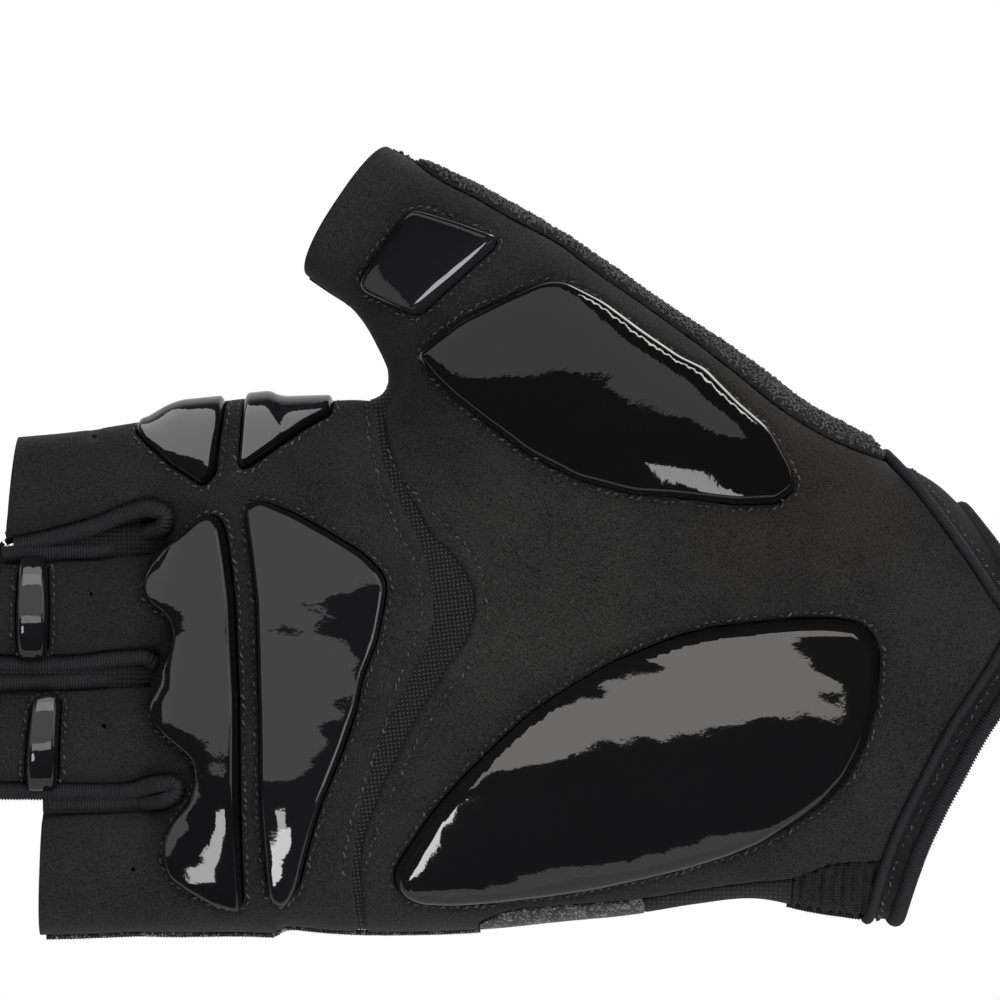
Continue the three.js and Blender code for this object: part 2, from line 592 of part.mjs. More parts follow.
// What lies below the little-finger seam between two of its points
function ulnarStrip([from, to], margin) {
  const line = shifted(ulnarLine.slice(from, to + 1), 0, margin)
  line[0].x -= margin
  line.at(-1).x += margin
  return prism([...line, corner(line.at(-1).x, -far), corner(line[0].x, -far)])
}

function palmHeel() {
  const outline = prism([
    ...shifted(insertRight, halfGap, 0).toReversed(),
    corner(crotch.x, crotch.y + clearOfThumb), corner(-far, crotch.y + clearOfThumb),
    corner(-far, far), corner(thumbLine[0].x, far),
    ...shifted(thumbLine, 0, -halfGap),
    ...shifted(ulnarLine, 0, halfGap).toReversed(),
    corner(ulnarLine[0].x, -far), corner(insertRight.at(-1).x, -far),
  ])
  return frontBody.intersect(outline)
}

function palmFingers() {
  const left = shifted(insertLeft, -halfGap, 0)
  const outline = prism([...left, corner(-far, left.at(-1).y), corner(-far, crotch.y)])
  return frontBody.intersect(outline).subtract(slotCuts)
}

function palmInsert() {
  const outline = [...shifted(insertLeft, halfGap, 0), ...shifted(insertRight, -halfGap, 0).toReversed()]
  return handSkin(-insertSink).subtract(handRoom).intersect(frontHalf).intersect(prism(outline))
}

// Towelling over the thumb: its upper side seen from the palm, and all of its back
function thumbBack() {
  const pile = handSkin(terryPile).subtract(handRoom).intersect(handSide)
  const backOutline = prism([
    ...shifted(backThumbLine, 0, halfGap), corner(far, backThumbLine.at(-1).y), corner(far, far),
    corner(-far, far), corner(-far, crotch.y + clearOfThumb),
  ])
  return pile.intersect(above(thumbLine, halfGap)).add(pile.intersect(backHalf).intersect(backOutline))
}

// The knit back wraps round to the palm as a narrow edging below the little-finger seam
function backPanel() {
  const outline = prism([
    ...shifted(backThumbLine, 0, -halfGap), corner(far, backThumbLine.at(-1).y), corner(far, -far),
    corner(-far, -far), corner(-far, crotch.y),
  ])
  const back = body.intersect(backHalf).intersect(outline).subtract(above(thumbLine, -halfGap))
  const edging = body.intersect(ulnarStrip(ulnarPieces.edging, -halfGap))
  const gussetRoom = ulnarStrip(ulnarPieces.gusset, halfGap).intersect(slab(-holeStep, gussetDepth + seamGap))
  return back.add(edging).subtract(slotCuts).subtract(gussetRoom)
}

const panels = {
  palm_heel: [palmHeel(), suede],
  palm_fingers: [palmFingers(), suede],
  palm_insert: [palmInsert(), knit],
  thumb_back: [thumbBack(), terry],
  back_panel: [backPanel(), knit],
  reflective_patch: [frontBody.intersect(ulnarStrip(ulnarPieces.patch, -halfGap)), silver],
  wrist_gusset: [
    body.intersect(ulnarStrip(ulnarPieces.gusset, -halfGap)).intersect(slab(-holeStep, gussetDepth)), knit,
  ],
}
for (const slot of slots) {
  panels[`fourchette_${slot.name}`] = [body.intersect(slotPrism(slot, -halfGap)), knit]
}

// Cuff band: the same hand skin with a thicker wall
const bandSkin = handSkin(bandWall - wall).subtract(handRoom)
panels.cuff_band = [bandSkin.intersect(bandStrip), ribbed]

// A ring of points round a centre, in the plane of two directions
function ringAround(centre, up, side, radius, turns) {
  return turns.map((turn) => {
    const offset = up.clone().multiplyScalar(Math.cos(turn)).addScaledVector(side, Math.sin(turn))
    return centre.clone().addScaledVector(offset, radius)
  })
}
const rollTurns = Array.from({ length: rollSides }, (_, j) => ((j + 0.5) / rollSides) * 2 * Math.PI)

// Roll along the cuff seam, right round the wrist
function cuffSpot(k) {
  let spotOnSeam = new THREE.Vector3()
  for (let pass = 0; pass < pipingPasses; pass += 1) {
    const section = palm.section(spotOnSeam.x)
    const { across, depth } = outlineAt(section, palmSquareness, (k / pipingSteps) * 2 * Math.PI, 0)
    spotOnSeam = new THREE.Vector3(xOf(readTable(cuffSeam, 'up', across / palmBreadth).at), depth, across)
  }
  return spotOnSeam
}

function cuffPiping() {
  const rings = []
  for (let k = 0; k < pipingSteps; k += 1) {
    const centre = cuffSpot(k)
    const way = cuffSpot(k + 1).sub(cuffSpot(k - 1)).normalize()
    const out = new THREE.Vector3(0, centre.y, centre.z)
    out.addScaledVector(way, -out.dot(way)).normalize()
    const side = new THREE.Vector3().crossVectors(way, out)
    rings.push(ringAround(centre, out, side, pipingRadius, rollTurns))
  }
  return skinOf(rings, true)
}
panels.cuff_piping = [cuffPiping(), ribbed]

// A round rod through points, with one flat side towards the palm
function rod(points, radius) {
  return skinOf(points.map((point, i) => {
    const ahead = points[Math.min(i + 1, points.length - 1)]
    const behind = points[Math.max(i - 1, 0)]
    const way = ahead.clone().sub(behind).normalize()
    const up = new THREE.Vector3(0, -1, 0)
    up.addScaledVector(way, -up.dot(way)).normalize()
    return ringAround(point, up, new THREE.Vector3().crossVectors(way, up), radius, rollTurns)
  }))
}

// Bindings in the slots: two legs that turn round in the web, seated on the stalls on both sides
const seatSkin = handSkin(seamGap)

// A binding rests on the highest point of the palm side near it
function bindingSeat(flat) {
  const reaches = [-rollRadius, 0, rollRadius]
  const depths = reaches.flatMap((dx) => reaches.map((dz) => frontDepth(flat.x + dx, flat.y + dz)))
  const depth = Math.min(...depths.filter(Number.isFinite)) - rollRadius * rollStand
  return new THREE.Vector3(flat.x, depth, flat.y)
}

function slotRoll(slot, radius) {
  const endX = xOf(slot.endAt)
  const climb = slot.bindingClimb * slotSeat
  const legAt = (x, sign) => {
    const gap = stallGap(slot, x)
    return gap.middle + sign * (gap.half + bindingInset)
  }
  const leg = (tube, sign) => legStops.map((t) => {
    const x = THREE.MathUtils.lerp(tube.origin.x + rollRadius, endX, t)
    return corner(x, legAt(x, sign) + climb * t ** climbPower)
  })
  const end = corner(endX, legAt(endX, 1) / 2 + legAt(endX, -1) / 2 + climb)
  const endHalf = legAt(endX, 1) / 2 - legAt(endX, -1) / 2
  const [upperTube, lowerTube] = fingerTubes.slice(slots.indexOf(slot))
  const bend = bendTurns.map((turn) => {
    return corner(end.x + endHalf * Math.sin(turn), end.y + endHalf * Math.cos(turn))
  })
  return rod([...leg(upperTube, 1), ...bend, ...leg(lowerTube, -1).toReversed()].map(bindingSeat), radius)
}
for (const slot of slots) {
  panels[`slot_roll_${slot.name}`] = [slotRoll(slot, rollRadius).subtract(seatSkin), ribbed]
}
const rollRoom = unite(slots.map((slot) => slotRoll(slot, rollRadius + seamGap)))

// Thin piping on the side seam of the little finger, from the patch to the mouth
function ulnarPiping() {
  const little = fingerTubes.at(-1)
  const stallEdge = little.origin.y - littleStall / 2
  const from = xOf(ulnarSeam[0].at) - seamGap
  const to = little.origin.x + ulnarPipingRadius
  const points = Array.from({ length: ulnarStops }, (_, k) => {
    const x = THREE.MathUtils.lerp(from, to, k / (ulnarStops - 1))
    const section = palm.section(x)
    const palmEdge = x > webX ? section.middle - section.half : stallEdge
    return new THREE.Vector3(x, partingDepth, Math.min(palmEdge, stallEdge))
  })
  return rod(points, ulnarPipingRadius * 2).subtract(seatSkin)
}
panels.ulnar_piping = [ulnarPiping(), silver]

// Gel pads
function rungEnds({ at, up, top, bottom, left, right }) {
  if (at === undefined) return [corner(xOf(left), zOf(up)), corner(xOf(right), zOf(up))]
  return [corner(xOf(at), zOf(top)), corner(xOf(at), zOf(bottom))]
}

// A pad is flat on top and falls off to its rim: share runs across it and reach from end to end
const padCrown = (share, reach) => Math.sqrt((1 - (2 * share - 1) ** 4) * (1 - (2 * reach - 1) ** 6))

function gelPad(pad) {
  const rings = pad.rungs.map((rung, i) => {
    const [from, to] = rungEnds(rung)
    const reach = (i + 1) / (pad.rungs.length + 1)
    const upper = []
    const lower = []
    for (let j = 0; j <= padColumns; j += 1) {
      const share = j / padColumns
      const flat = from.clone().lerp(to, share)
      const { point, normal } = frontSpot(flat)
      const height = padEdge + (pad.height * padHeight - padEdge) * padCrown(share, reach)
      upper.push(point.clone().addScaledVector(normal, height))
      lower.push(point.clone().addScaledVector(normal, -padSink))
    }
    return [...upper, ...lower.toReversed()]
  })
  return skinOf(rings).subtract(seatSkin).subtract(rollRoom)
}
for (const pad of pads) panels[pad.name] = [gelPad(pad), gel]

// The finished glove
const group = new THREE.Group()
for (const [name, [solid, material]] of Object.entries(panels)) {
  const whole = solid.decompose().sort((a, b) => b.volume() - a.volume())[0]
  const mesh = whole.getMesh()
  const geometry = new THREE.BufferGeometry()
  geometry.setAttribute('position', new THREE.BufferAttribute(new Float32Array(mesh.vertProperties), 3))
  geometry.setIndex(new THREE.BufferAttribute(new Uint32Array(mesh.triVerts), 1))
  geometry.computeVertexNormals()
  const piece = new THREE.Mesh(geometry, material)
  piece.name = name
  group.add(piece)
}

export default group
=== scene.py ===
# %% [markdown]
# # A half-finger cycling glove, dressed over its solid model
#
# The glove is sewn from suede, knit and towelling, and black gel pads sit in pockets on its palm.
# The solid model gives the main form. This script makes the cloth, pads, bindings and stitches
# that the eye sees, in the same frame: the palm faces -Y, the fingers point to -X and the thumb is up.

# %% Load the frame
import json
import math

import bpy
import numpy as np
from mathutils import Matrix, Vector
from mathutils.geometry import delaunay_2d_cdt

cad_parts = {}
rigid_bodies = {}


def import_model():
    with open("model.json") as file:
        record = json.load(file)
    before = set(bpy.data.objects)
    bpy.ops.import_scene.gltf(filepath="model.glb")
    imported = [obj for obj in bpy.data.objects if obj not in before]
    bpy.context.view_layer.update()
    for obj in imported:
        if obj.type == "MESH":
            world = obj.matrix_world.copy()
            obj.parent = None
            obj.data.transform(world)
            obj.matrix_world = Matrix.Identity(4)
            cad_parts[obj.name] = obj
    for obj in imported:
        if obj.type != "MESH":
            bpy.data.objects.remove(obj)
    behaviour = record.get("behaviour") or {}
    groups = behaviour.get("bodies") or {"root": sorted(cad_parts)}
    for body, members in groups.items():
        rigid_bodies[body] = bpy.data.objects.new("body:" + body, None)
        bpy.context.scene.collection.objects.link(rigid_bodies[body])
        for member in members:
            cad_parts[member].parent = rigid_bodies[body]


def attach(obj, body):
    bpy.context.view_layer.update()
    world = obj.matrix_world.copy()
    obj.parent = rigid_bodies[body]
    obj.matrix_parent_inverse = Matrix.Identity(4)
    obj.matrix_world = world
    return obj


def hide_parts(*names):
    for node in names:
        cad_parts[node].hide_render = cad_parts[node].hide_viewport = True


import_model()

MM = 0.001
# Distances in millimetres that stand for "far away", "this rule always holds" and "it never holds"
FAR_AWAY, ALWAYS, NEVER = 50.0, 9.0, -9.0
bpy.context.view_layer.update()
rng = np.random.default_rng(7)

# %% [markdown]
# ## The form under the cloth
#
# A worn glove is a few soft tubes that flow into each other: the palm, the thumb and four finger stalls.
# It could be sculpted or lofted, but lofts meet in hard lines at the webs. Here each tube is a distance:
# how far a point is outside it. Distances can be blended softly where tubes meet, so the crotch of the
# thumb and the webs get the rounded valleys of real cloth. A slow random swell keeps the form from
# looking turned on a lathe.

# %% Sections of the palm and the thumb, in millimetres
# along, top edge, bottom edge, depth to the palm side, depth to the back, hollow of the palm
PALM_SECTIONS = [
    (-118.4, 45.4, -38.2, 9.5, 12.9, 0.0), (-109.8, 46.2, -38.2, 12.9, 14.4, 0.4),
    (-96.5, 46.7, -40.3, 14.8, 15.2, 1.1), (-80.1, 47.3, -40.9, 15.2, 15.6, 2.3),
    (-63.6, 47.3, -40.3, 15.6, 16.0, 3.4), (-47.0, 47.0, -38.8, 16.7, 16.5, 4.2),
    (-30.5, 46.2, -36.5, 18.2, 17.1, 4.2), (-20.7, 45.2, -35.6, 19.4, 17.3, 3.8),
    (-10.7, 42.4, -37.4, 20.1, 17.9, 3.0), (0.0, 37.6, -38.8, 20.1, 18.2, 2.3),
    (9.0, 33.1, -38.9, 19.8, 18.6, 1.1), (19.0, 23.4, -38.8, 19.0, 19.0, 0.4),
    (32.2, 16.9, -38.5, 18.2, 19.0, 0.0),
]
# along, reach to the upper side, reach to the lower side, middle of its depth, front, back
THUMB_SECTIONS = [
    (-11.6, 12.2, 12.2, 2.1, 10.1, 10.1), (4.0, 12.9, 13.2, 0.0, 10.5, 10.5),
    (9.9, 13.7, 13.7, -1.1, 10.9, 10.9), (17.7, 14.4, 17.2, -2.5, 11.8, 11.6),
    (23.1, 14.6, 21.0, -3.1, 12.6, 12.2), (31.8, 14.9, 26.4, -3.6, 14.1, 13.0),
    (43.0, 15.0, 29.7, -3.4, 16.0, 13.9), (54.5, 14.7, 29.7, -2.5, 17.4, 14.3),
    (66.1, 14.5, 27.3, -1.7, 18.3, 14.7), (74.4, 13.9, 23.1, -1.1, 18.5, 14.7),
    (82.4, 12.0, 18.2, -0.4, 17.8, 14.7), (92.3, 11.7, 13.2, 0.0, 16.0, 14.7),
]
THUMB_MOUTH, THUMB_ROOT = (-88.7, 78.7), (-7.1, 26.2)
THUMB_MOUTH_TILT = 0.24
# name, root, mouth, breadth, and how far the mouth is cut back
STALLS = [
    ("index", (-102.2, 37.0), (-144.5, 31.9), 18.2, -0.1),
    ("middle", (-102.2, 13.2), (-151.4, 12.6), 19.1, 0.0),
    ("ring", (-102.2, -8.4), (-150.1, -8.6), 18.8, 0.0),
    ("little", (-102.2, -29.9), (-139.6, -31.0), 21.8, -0.03),
]
STALL_HALF_DEPTH, STALL_SET_BACK, STALL_OVERRUN = 9.0, 1.44, 6.0
WEB_X = -118.4
SIDE_LINE = 2.5


def rounded(stops, rows, places):
    """Read a table between its rows along a smooth curve."""
    slopes = np.gradient(rows, stops, axis=0)
    i = np.clip(np.searchsorted(stops, places) - 1, 0, len(stops) - 2)
    span = (stops[i + 1] - stops[i])[:, None]
    t = np.clip((places - stops[i])[:, None] / span, 0, 1)
    start = (2 * t**3 - 3 * t**2 + 1) * rows[i] + (t**3 - 2 * t**2 + t) * span * slopes[i]
    return start + (3 * t**2 - 2 * t**3) * rows[i + 1] + (t**3 - t**2) * span * slopes[i + 1]


# %% Tubes
# Steps along a tube, and how boxy the sections are: 2 is an ellipse, more is squarer
TABLE_STEP, PALM_POWER, ROUND_POWER = 0.5, 2.6, 2.3
# How far the palm and the thumb tubes reach along their own axes
PALM_REACH, THUMB_REACH = (-400, 400), (-11, 92)


def make_tube(start, end, power, stops, rows, reach):
    """A tube from start towards end, with rows of middle, half, depth, front, back and hollow."""
    start, end = np.array(start), np.array(end)
    along = (end - start) / np.linalg.norm(end - start)
    places = np.arange(stops[0], stops[-1] + TABLE_STEP, TABLE_STEP)
    table = rounded(np.array(stops), np.array(rows), places)
    return dict(start=start, along=along, across=np.array([-along[1], along[0]]), power=power,
                places=places, columns=table.T, reach=reach)


def palm_tube():
    rows = [((top + bottom) / 2, (top - bottom) / 2, 0, front, back, hollow)
            for _, top, bottom, front, back, hollow in PALM_SECTIONS]
    return make_tube((0, 0), (1, 0), PALM_POWER, [row[0] for row in PALM_SECTIONS], rows, PALM_REACH)


def thumb_tube():
    rows = [((upper - lower) / 2, (upper + lower) / 2, depth, front, back, 0)
            for _, upper, lower, depth, front, back in THUMB_SECTIONS]
    stops = [row[0] for row in THUMB_SECTIONS]
    return make_tube(THUMB_MOUTH, THUMB_ROOT, ROUND_POWER, stops, rows, THUMB_REACH)


def stall_tube(root, mouth, breadth):
    row = (0, breadth / 2, STALL_SET_BACK, STALL_HALF_DEPTH, STALL_HALF_DEPTH, 0)
    stops = (-STALL_OVERRUN, math.dist(root, mouth))
    return make_tube(mouth, root, ROUND_POWER, stops, [row, row], stops)


PALM, THUMB = palm_tube(), thumb_tube()
FINGERS = [stall_tube(root, mouth, breadth) for _, root, mouth, breadth, _ in STALLS]
print("tubes:", 2 + len(FINGERS))


# %% Distance to the form
# Where the hollow of the palm lies across it, and how wide it is, as shares of half its breadth
HOLLOW_AT, HOLLOW_SPREAD = 0.05, 0.3


def tube_distance(tube, x, y, z):
    rel_x, rel_z = x - tube["start"][0], z - tube["start"][1]
    run = rel_x * tube["along"][0] + rel_z * tube["along"][1]
    side = rel_x * tube["across"][0] + rel_z * tube["across"][1]
    middle, half, depth, front, back, hollow = (
        np.interp(run, tube["places"], column) for column in tube["columns"])
    u = (side - middle) / half
    down = y - depth
    dip = hollow * np.exp(-(((u - HOLLOW_AT) / HOLLOW_SPREAD) ** 2))
    reach = np.where(down < 0, front - dip, back)
    u, v, power = np.abs(u) + 1e-6, np.abs(down / reach) + 1e-6, tube["power"]
    size = (u**power + v**power) ** (1 / power)
    steep = np.sqrt(((u / size) ** (power - 1) / half) ** 2 + ((v / size) ** (power - 1) / reach) ** 2)
    low, high = tube["reach"]
    return np.maximum((size - 1) / steep, np.maximum(low - run, run - high))


def soft_min(a, b, width):
    share = np.clip(0.5 + 0.5 * (b - a) / width, 0, 1)
    return b + (a - b) * share - width * share * (1 - share)


WAVES = [(rng.normal(size=3), rng.uniform(0, 6.3)) for _ in range(14)]


def wobble(x, y, z, length):
    """A slow random swell with the given wavelength, about -1 to 1."""
    total = 0
    for way, phase in WAVES:
        total = total + np.sin((way[0] * x + way[1] * y + way[2] * z) * 3.6 / length + phase)
    return total / 4


# How softly the palm's end, the thumb, the stalls and their webs run into each other
PALM_BLEND, THUMB_BLEND, STALL_BLEND, WEB_BLEND = 4.0, 8.0, 5.0, 2.6
SWELL, SWELL_LENGTH = 0.22, 26.0


def hand(points):
    """Distance in millimetres from the outside of the hand, below nought inside it."""
    x, y, z = points[..., 0], points[..., 1], points[..., 2]
    palm = -soft_min(-tube_distance(PALM, x, y, z), x - WEB_X, PALM_BLEND)
    value = soft_min(palm, tube_distance(THUMB, x, y, z), THUMB_BLEND)
    stalls = tube_distance(FINGERS[0], x, y, z)
    for tube in FINGERS[1:]:
        stalls = soft_min(stalls, tube_distance(tube, x, y, z), WEB_BLEND)
    return soft_min(value, stalls, STALL_BLEND) + SWELL * wobble(x, y, z, SWELL_LENGTH)


def outward(points, reach=0.35):
    """The form's outward normal at each point."""
    slope = np.empty_like(points)
    for axis in range(3):
        step = np.zeros(3)
        step[axis] = reach
        slope[..., axis] = hand(points + step) - hand(points - step)
    return slope / (np.linalg.norm(slope, axis=-1, keepdims=True) + 1e-9)


def settle(points, passes=3):
    """Move points onto the form's surface."""
    for _ in range(passes):
        points = points - outward(points) * hand(points)[..., None]
    return points


# %% [markdown]
# ## A mesh from the distances
#
# A grid is laid over the form, and each grid cell that the surface crosses gets one point, which is then
# moved exactly onto the surface. Neighbouring cells are joined by faces. It is the same idea as a
# voxel remesh, but the spacing is even, and every point knows its true outward direction.

# %% Surface over a grid
CLOTH_STEP = 0.7


def surface_net(low, high, step):
    axes = [np.arange(a, b, step) for a, b in zip(low, high)]
    values = np.stack([hand(np.stack(np.meshgrid([x], axes[1], axes[2], indexing="ij"), -1))[0]
                       for x in axes[0]])
    inside = values < 0
    size = np.array(values.shape) - 1
    total, count = np.zeros((*size, 3)), np.zeros(size)
    corners = [np.array([i, j, k]) for i in (0, 1) for j in (0, 1) for k in (0, 1)]

    def part(grid, at):
        return grid[at[0]:at[0] + size[0], at[1]:at[1] + size[1], at[2]:at[2] + size[2]]

    for a in corners:
        for axis in range(3):
            if a[axis]:
                continue
            b = a.copy()
            b[axis] = 1
            va, vb = part(values, a), part(values, b)
            crossed = part(inside, a) != part(inside, b)
            share = np.where(crossed, va / np.where(crossed, va - vb, 1), 0)
            for k in range(3):
                total[..., k] += np.where(crossed, a[k] + (share if k == axis else 0), 0)
            count += crossed
    used = count > 0
    number = np.full(size, -1)
    number[used] = np.arange(used.sum())
    points = np.array(low) + (np.argwhere(used) + total[used] / count[used][:, None]) * step
    quads = []
    for axis in range(3):
        b, c = (axis + 1) % 3, (axis + 2) % 3
        ahead = np.moveaxis(inside, (axis, b, c), (0, 1, 2))
        cells = np.moveaxis(number, (axis, b, c), (0, 1, 2))
        first, second = ahead[:-1, 1:-1, 1:-1], ahead[1:, 1:-1, 1:-1]
        for flip in (False, True):
            spots = np.argwhere((first & ~second) if not flip else (~first & second))
            i, j, k = spots.T
            ring = [cells[i, j, k], cells[i, j + 1, k], cells[i, j + 1, k + 1], cells[i, j, k + 1]]
            quads.append(np.stack(ring[::-1] if flip else ring, -1))
    quads = np.concatenate(quads)
    faces = np.concatenate([quads[:, [0, 1, 2]], quads[:, [0, 2, 3]]])
    return settle(points), faces


NET_LOW, NET_HIGH = (-158, -28, -47), (36, 24, 95)
skin_points, skin_faces = surface_net(NET_LOW, NET_HIGH, CLOTH_STEP)
print("skin:", len(skin_points), "points,", len(skin_faces), "triangles")

# %% [markdown]
# ## Seams
#
# A glove is cut from flat panels, and the seams say where one ends and the next begins. Each seam is
# drawn once as a smooth line in the plane of the palm. A panel is then the part of the skin on its own
# side of its seams, cut through the triangles so that its edge is a clean line and not a staircase.
# Two kinds of line are needed: a smooth curve for seams, and straight sides with softened corners for
# the moulded pads.


# %% Seam lines, x and z in millimetres
def smooth_line(points, step=1.0, closed=False):
    """A rounded curve through the points, with even steps."""
    points = np.array(points, float)
    if closed:
        points = np.concatenate([points[-3:], points, points[:3]])
    run = np.concatenate([[0], np.cumsum(np.linalg.norm(np.diff(points, axis=0), axis=1))])
    from_run, to_run = (run[3], run[-3]) if closed else (0, run[-1])
    count = max(2, int(round((to_run - from_run) / step)) + 1)
    places = np.linspace(from_run, to_run, count)
    line = rounded(run, points, places)
    return line[:-1] if closed else line


FINE_STEP = 0.2


def softened(points, radius, step=0.7):
    """A closed outline with straight sides and rounded corners."""
    points = np.array(points, float)
    fine = []
    for a, b in zip(points, np.roll(points, -1, axis=0)):
        count = max(1, int(round(math.dist(a, b) / FINE_STEP)))
        fine.append(a + (b - a) * np.arange(count)[:, None] / count)
    fine = np.concatenate(fine)
    reach = int(3 * radius / FINE_STEP)
    weights = np.exp(-0.5 * (np.arange(-reach, reach + 1) * FINE_STEP / radius) ** 2)
    weights /= weights.sum()
    rounded_off = sum(w * np.roll(fine, k - reach, axis=0) for k, w in enumerate(weights))
    return rounded_off[::max(1, int(round(step / FINE_STEP)))]


INSERT_LEFT = smooth_line([
    (-84.3, 60.0), (-84.2, 47.0), (-83.7, 41.9), (-82.6, 36.5), (-79.9, 30.2), (-78.5, 27.4), (-76.9, 23.9),
    (-75.6, 20.3), (-74.6, 15.7), (-74.4, 12.7), (-74.7, 9.4), (-76.1, 5.1), (-77.7, 2.3), (-79.9, -2.0),
    (-81.5, -5.3), (-83.2, -9.1), (-84.8, -14.4), (-86.1, -18.5), (-86.8, -22.6), (-87.3, -26.9),
    (-87.8, -30.2), (-87.6, -34.3), (-87.1, -39.8), (-87.0, -60.0)])
INSERT_RIGHT = smooth_line([
    (-83.0, 60.0), (-83.0, 47.0), (-82.4, 41.9), (-81.0, 36.5), (-76.8, 28.6), (-74.4, 24.4), (-71.9, 22.3),
    (-69.8, 19.5), (-68.3, 16.8), (-67.7, 13.5), (-68.3, 9.4), (-69.8, 6.1), (-71.9, 3.5), (-73.9, 0.2),
    (-76.1, -3.1), (-78.2, -6.9), (-80.7, -12.2), (-82.3, -15.2), (-84.0, -19.8), (-85.6, -23.9),
    (-86.4, -29.0), (-86.3, -34.3), (-85.9, -39.8), (-85.8, -60.0)])
THUMB_SEAM = smooth_line([
    (-110.0, 112.0), (-85.5, 93.6), (-78.6, 87.8), (-73.9, 84.0), (-67.1, 80.4), (-61.7, 77.2),
    (-53.5, 72.8), (-48.0, 68.6), (-41.2, 63.9), (-31.7, 57.1), (-24.7, 51.7), (-17.9, 46.2),
    (-9.0, 40.7), (-0.1, 37.3), (29.7, 33.0), (60.0, 30.0)])
ULNAR_SEAM = smooth_line([
    (-66.8, -39.6), (-62.7, -37.8), (-53.6, -36.8), (-39.6, -35.6), (-30.5, -34.1), (-22.0, -32.9),
    (-15.2, -32.0), (-9.7, -29.7), (-2.1, -29.0), (29.7, -29.0), (60.0, -29.0)])
BACK_THUMB_SEAM = smooth_line([
    (-82.0, 47.5), (-75.1, 43.0), (-63.6, 39.1), (-47.0, 35.5), (-23.9, 31.8), (-0.1, 28.1), (60.0, 19.0)])
CUFF_SEAM = smooth_line([
    (-12.0, 64.0), (-7.1, 53.5), (-2.9, 42.9), (0.4, 38.0), (5.0, 32.7), (9.4, 26.7), (13.7, 20.6),
    (17.1, 15.3), (19.4, 11.6), (19.5, 8.7), (17.8, 5.0), (14.1, -0.8), (10.3, -6.6), (6.7, -13.2),
    (3.3, -19.8), (0.8, -25.6), (-0.8, -30.6), (-2.0, -35.5), (-3.1, -49.0), (-3.5, -60.0)])
# The slots between the stalls, as far as the suede is cut away for their bindings
SLOTS = {
    "index_middle": [(-142.9, 23.6), (-136.8, 25.7), (-130.0, 27.6), (-124.4, 29.9), (-119.6, 30.2),
                     (-117.2, 27.9), (-117.6, 25.7), (-121.4, 23.8), (-126.9, 21.4), (-136.8, 20.6),
                     (-165.0, 20.2), (-165.0, 23.0)],
    "middle_ring": [(-146.0, 4.6), (-133.7, 4.6), (-124.4, 5.6), (-120.1, 5.1), (-119.8, 4.0),
                    (-121.4, 1.5), (-127.5, -0.2), (-136.8, -1.0), (-165.0, -1.4), (-165.0, 4.6)],
    "ring_little": [(-146.0, -16.5), (-124.6, -16.5), (-119.0, -15.0), (-115.2, -15.5), (-115.0, -16.7),
                    (-117.2, -19.5), (-124.4, -20.8), (-133.7, -21.3), (-165.0, -21.9), (-165.0, -16.5)],
}
CROTCH_Z, SLOT_END_X = 52.0, -110
# Heights between the stalls, and the corner beyond which a point belongs to the thumb
SLOT_MIDDLES, THUMB_CORNER = (22.4, 1.9, -19.05), (-55, 55)
# Where the wedge, the edging and the gusset start along the little-finger side, and the gusset's depth
PATCH_FROM, EDGING_FROM, GUSSET_FROM, GUSSET_DEPTH = -66.8, -39.6, -15.2, 9.5


# %% Distances from seams
def line_distance(x, z, line, closed=False):
    """Distance in the plane of the palm to a line of points."""
    ends = np.roll(line, -1, axis=0) if closed else line[1:]
    starts = line if closed else line[:-1]
    best = np.full(np.shape(x), np.inf)
    for (ax, az), (bx, bz) in zip(starts, ends):
        dx, dz = bx - ax, bz - az
        t = np.clip(((x - ax) * dx + (z - az) * dz) / (dx * dx + dz * dz + 1e-12), 0, 1)
        best = np.minimum(best, (x - ax - t * dx) ** 2 + (z - az - t * dz) ** 2)
    return np.sqrt(best)


def inside_loop(x, z, loop):
    """Whether points are inside a closed line."""
    within = np.zeros(np.shape(x), bool)
    for (ax, az), (bx, bz) in zip(loop, np.roll(loop, -1, axis=0)):
        if az == bz:
            continue
        spans = (az > z) != (bz > z)
        within ^= spans & (x < (bx - ax) * (z - az) / (bz - az) + ax)
    return within


def loop_distance(x, z, loop):
    """Distance from a closed line, below nought inside it."""
    away = line_distance(x, z, loop, closed=True)
    return np.where(inside_loop(x, z, loop), -away, away)


def over_line(x, z, line):
    """Distance from a seam that runs along the hand, above nought on its thumb side."""
    return line_distance(x, z, line) * np.sign(z - np.interp(x, line[:, 0], line[:, 1]))


def past_line(x, z, line):
    """Distance from a seam that runs across the hand, above nought on its cuff side."""
    order = np.argsort(line[:, 1])
    return line_distance(x, z, line) * np.sign(x - np.interp(z, line[order, 1], line[order, 0]))


def mouth_room(points):
    """How far a point is inside the mouth of its own stall."""
    x, y, z = points.T
    room = np.full(len(points), FAR_AWAY)
    for i, (_, _, mouth, _, lean) in enumerate(STALLS):
        high = SLOT_MIDDLES[i - 1] if i else FAR_AWAY
        low = SLOT_MIDDLES[i] if i < 3 else -FAR_AWAY
        own = (z <= high) & (z > low) & (x < WEB_X - 4)
        room = np.where(own, x - mouth[0] + lean * (z - mouth[1]), room)
    run = (x - THUMB["start"][0]) * THUMB["along"][0] + (z - THUMB["start"][1]) * THUMB["along"][1]
    return np.where((z > THUMB_CORNER[1]) & (x < THUMB_CORNER[0]), run - THUMB_MOUTH_TILT * y, room)


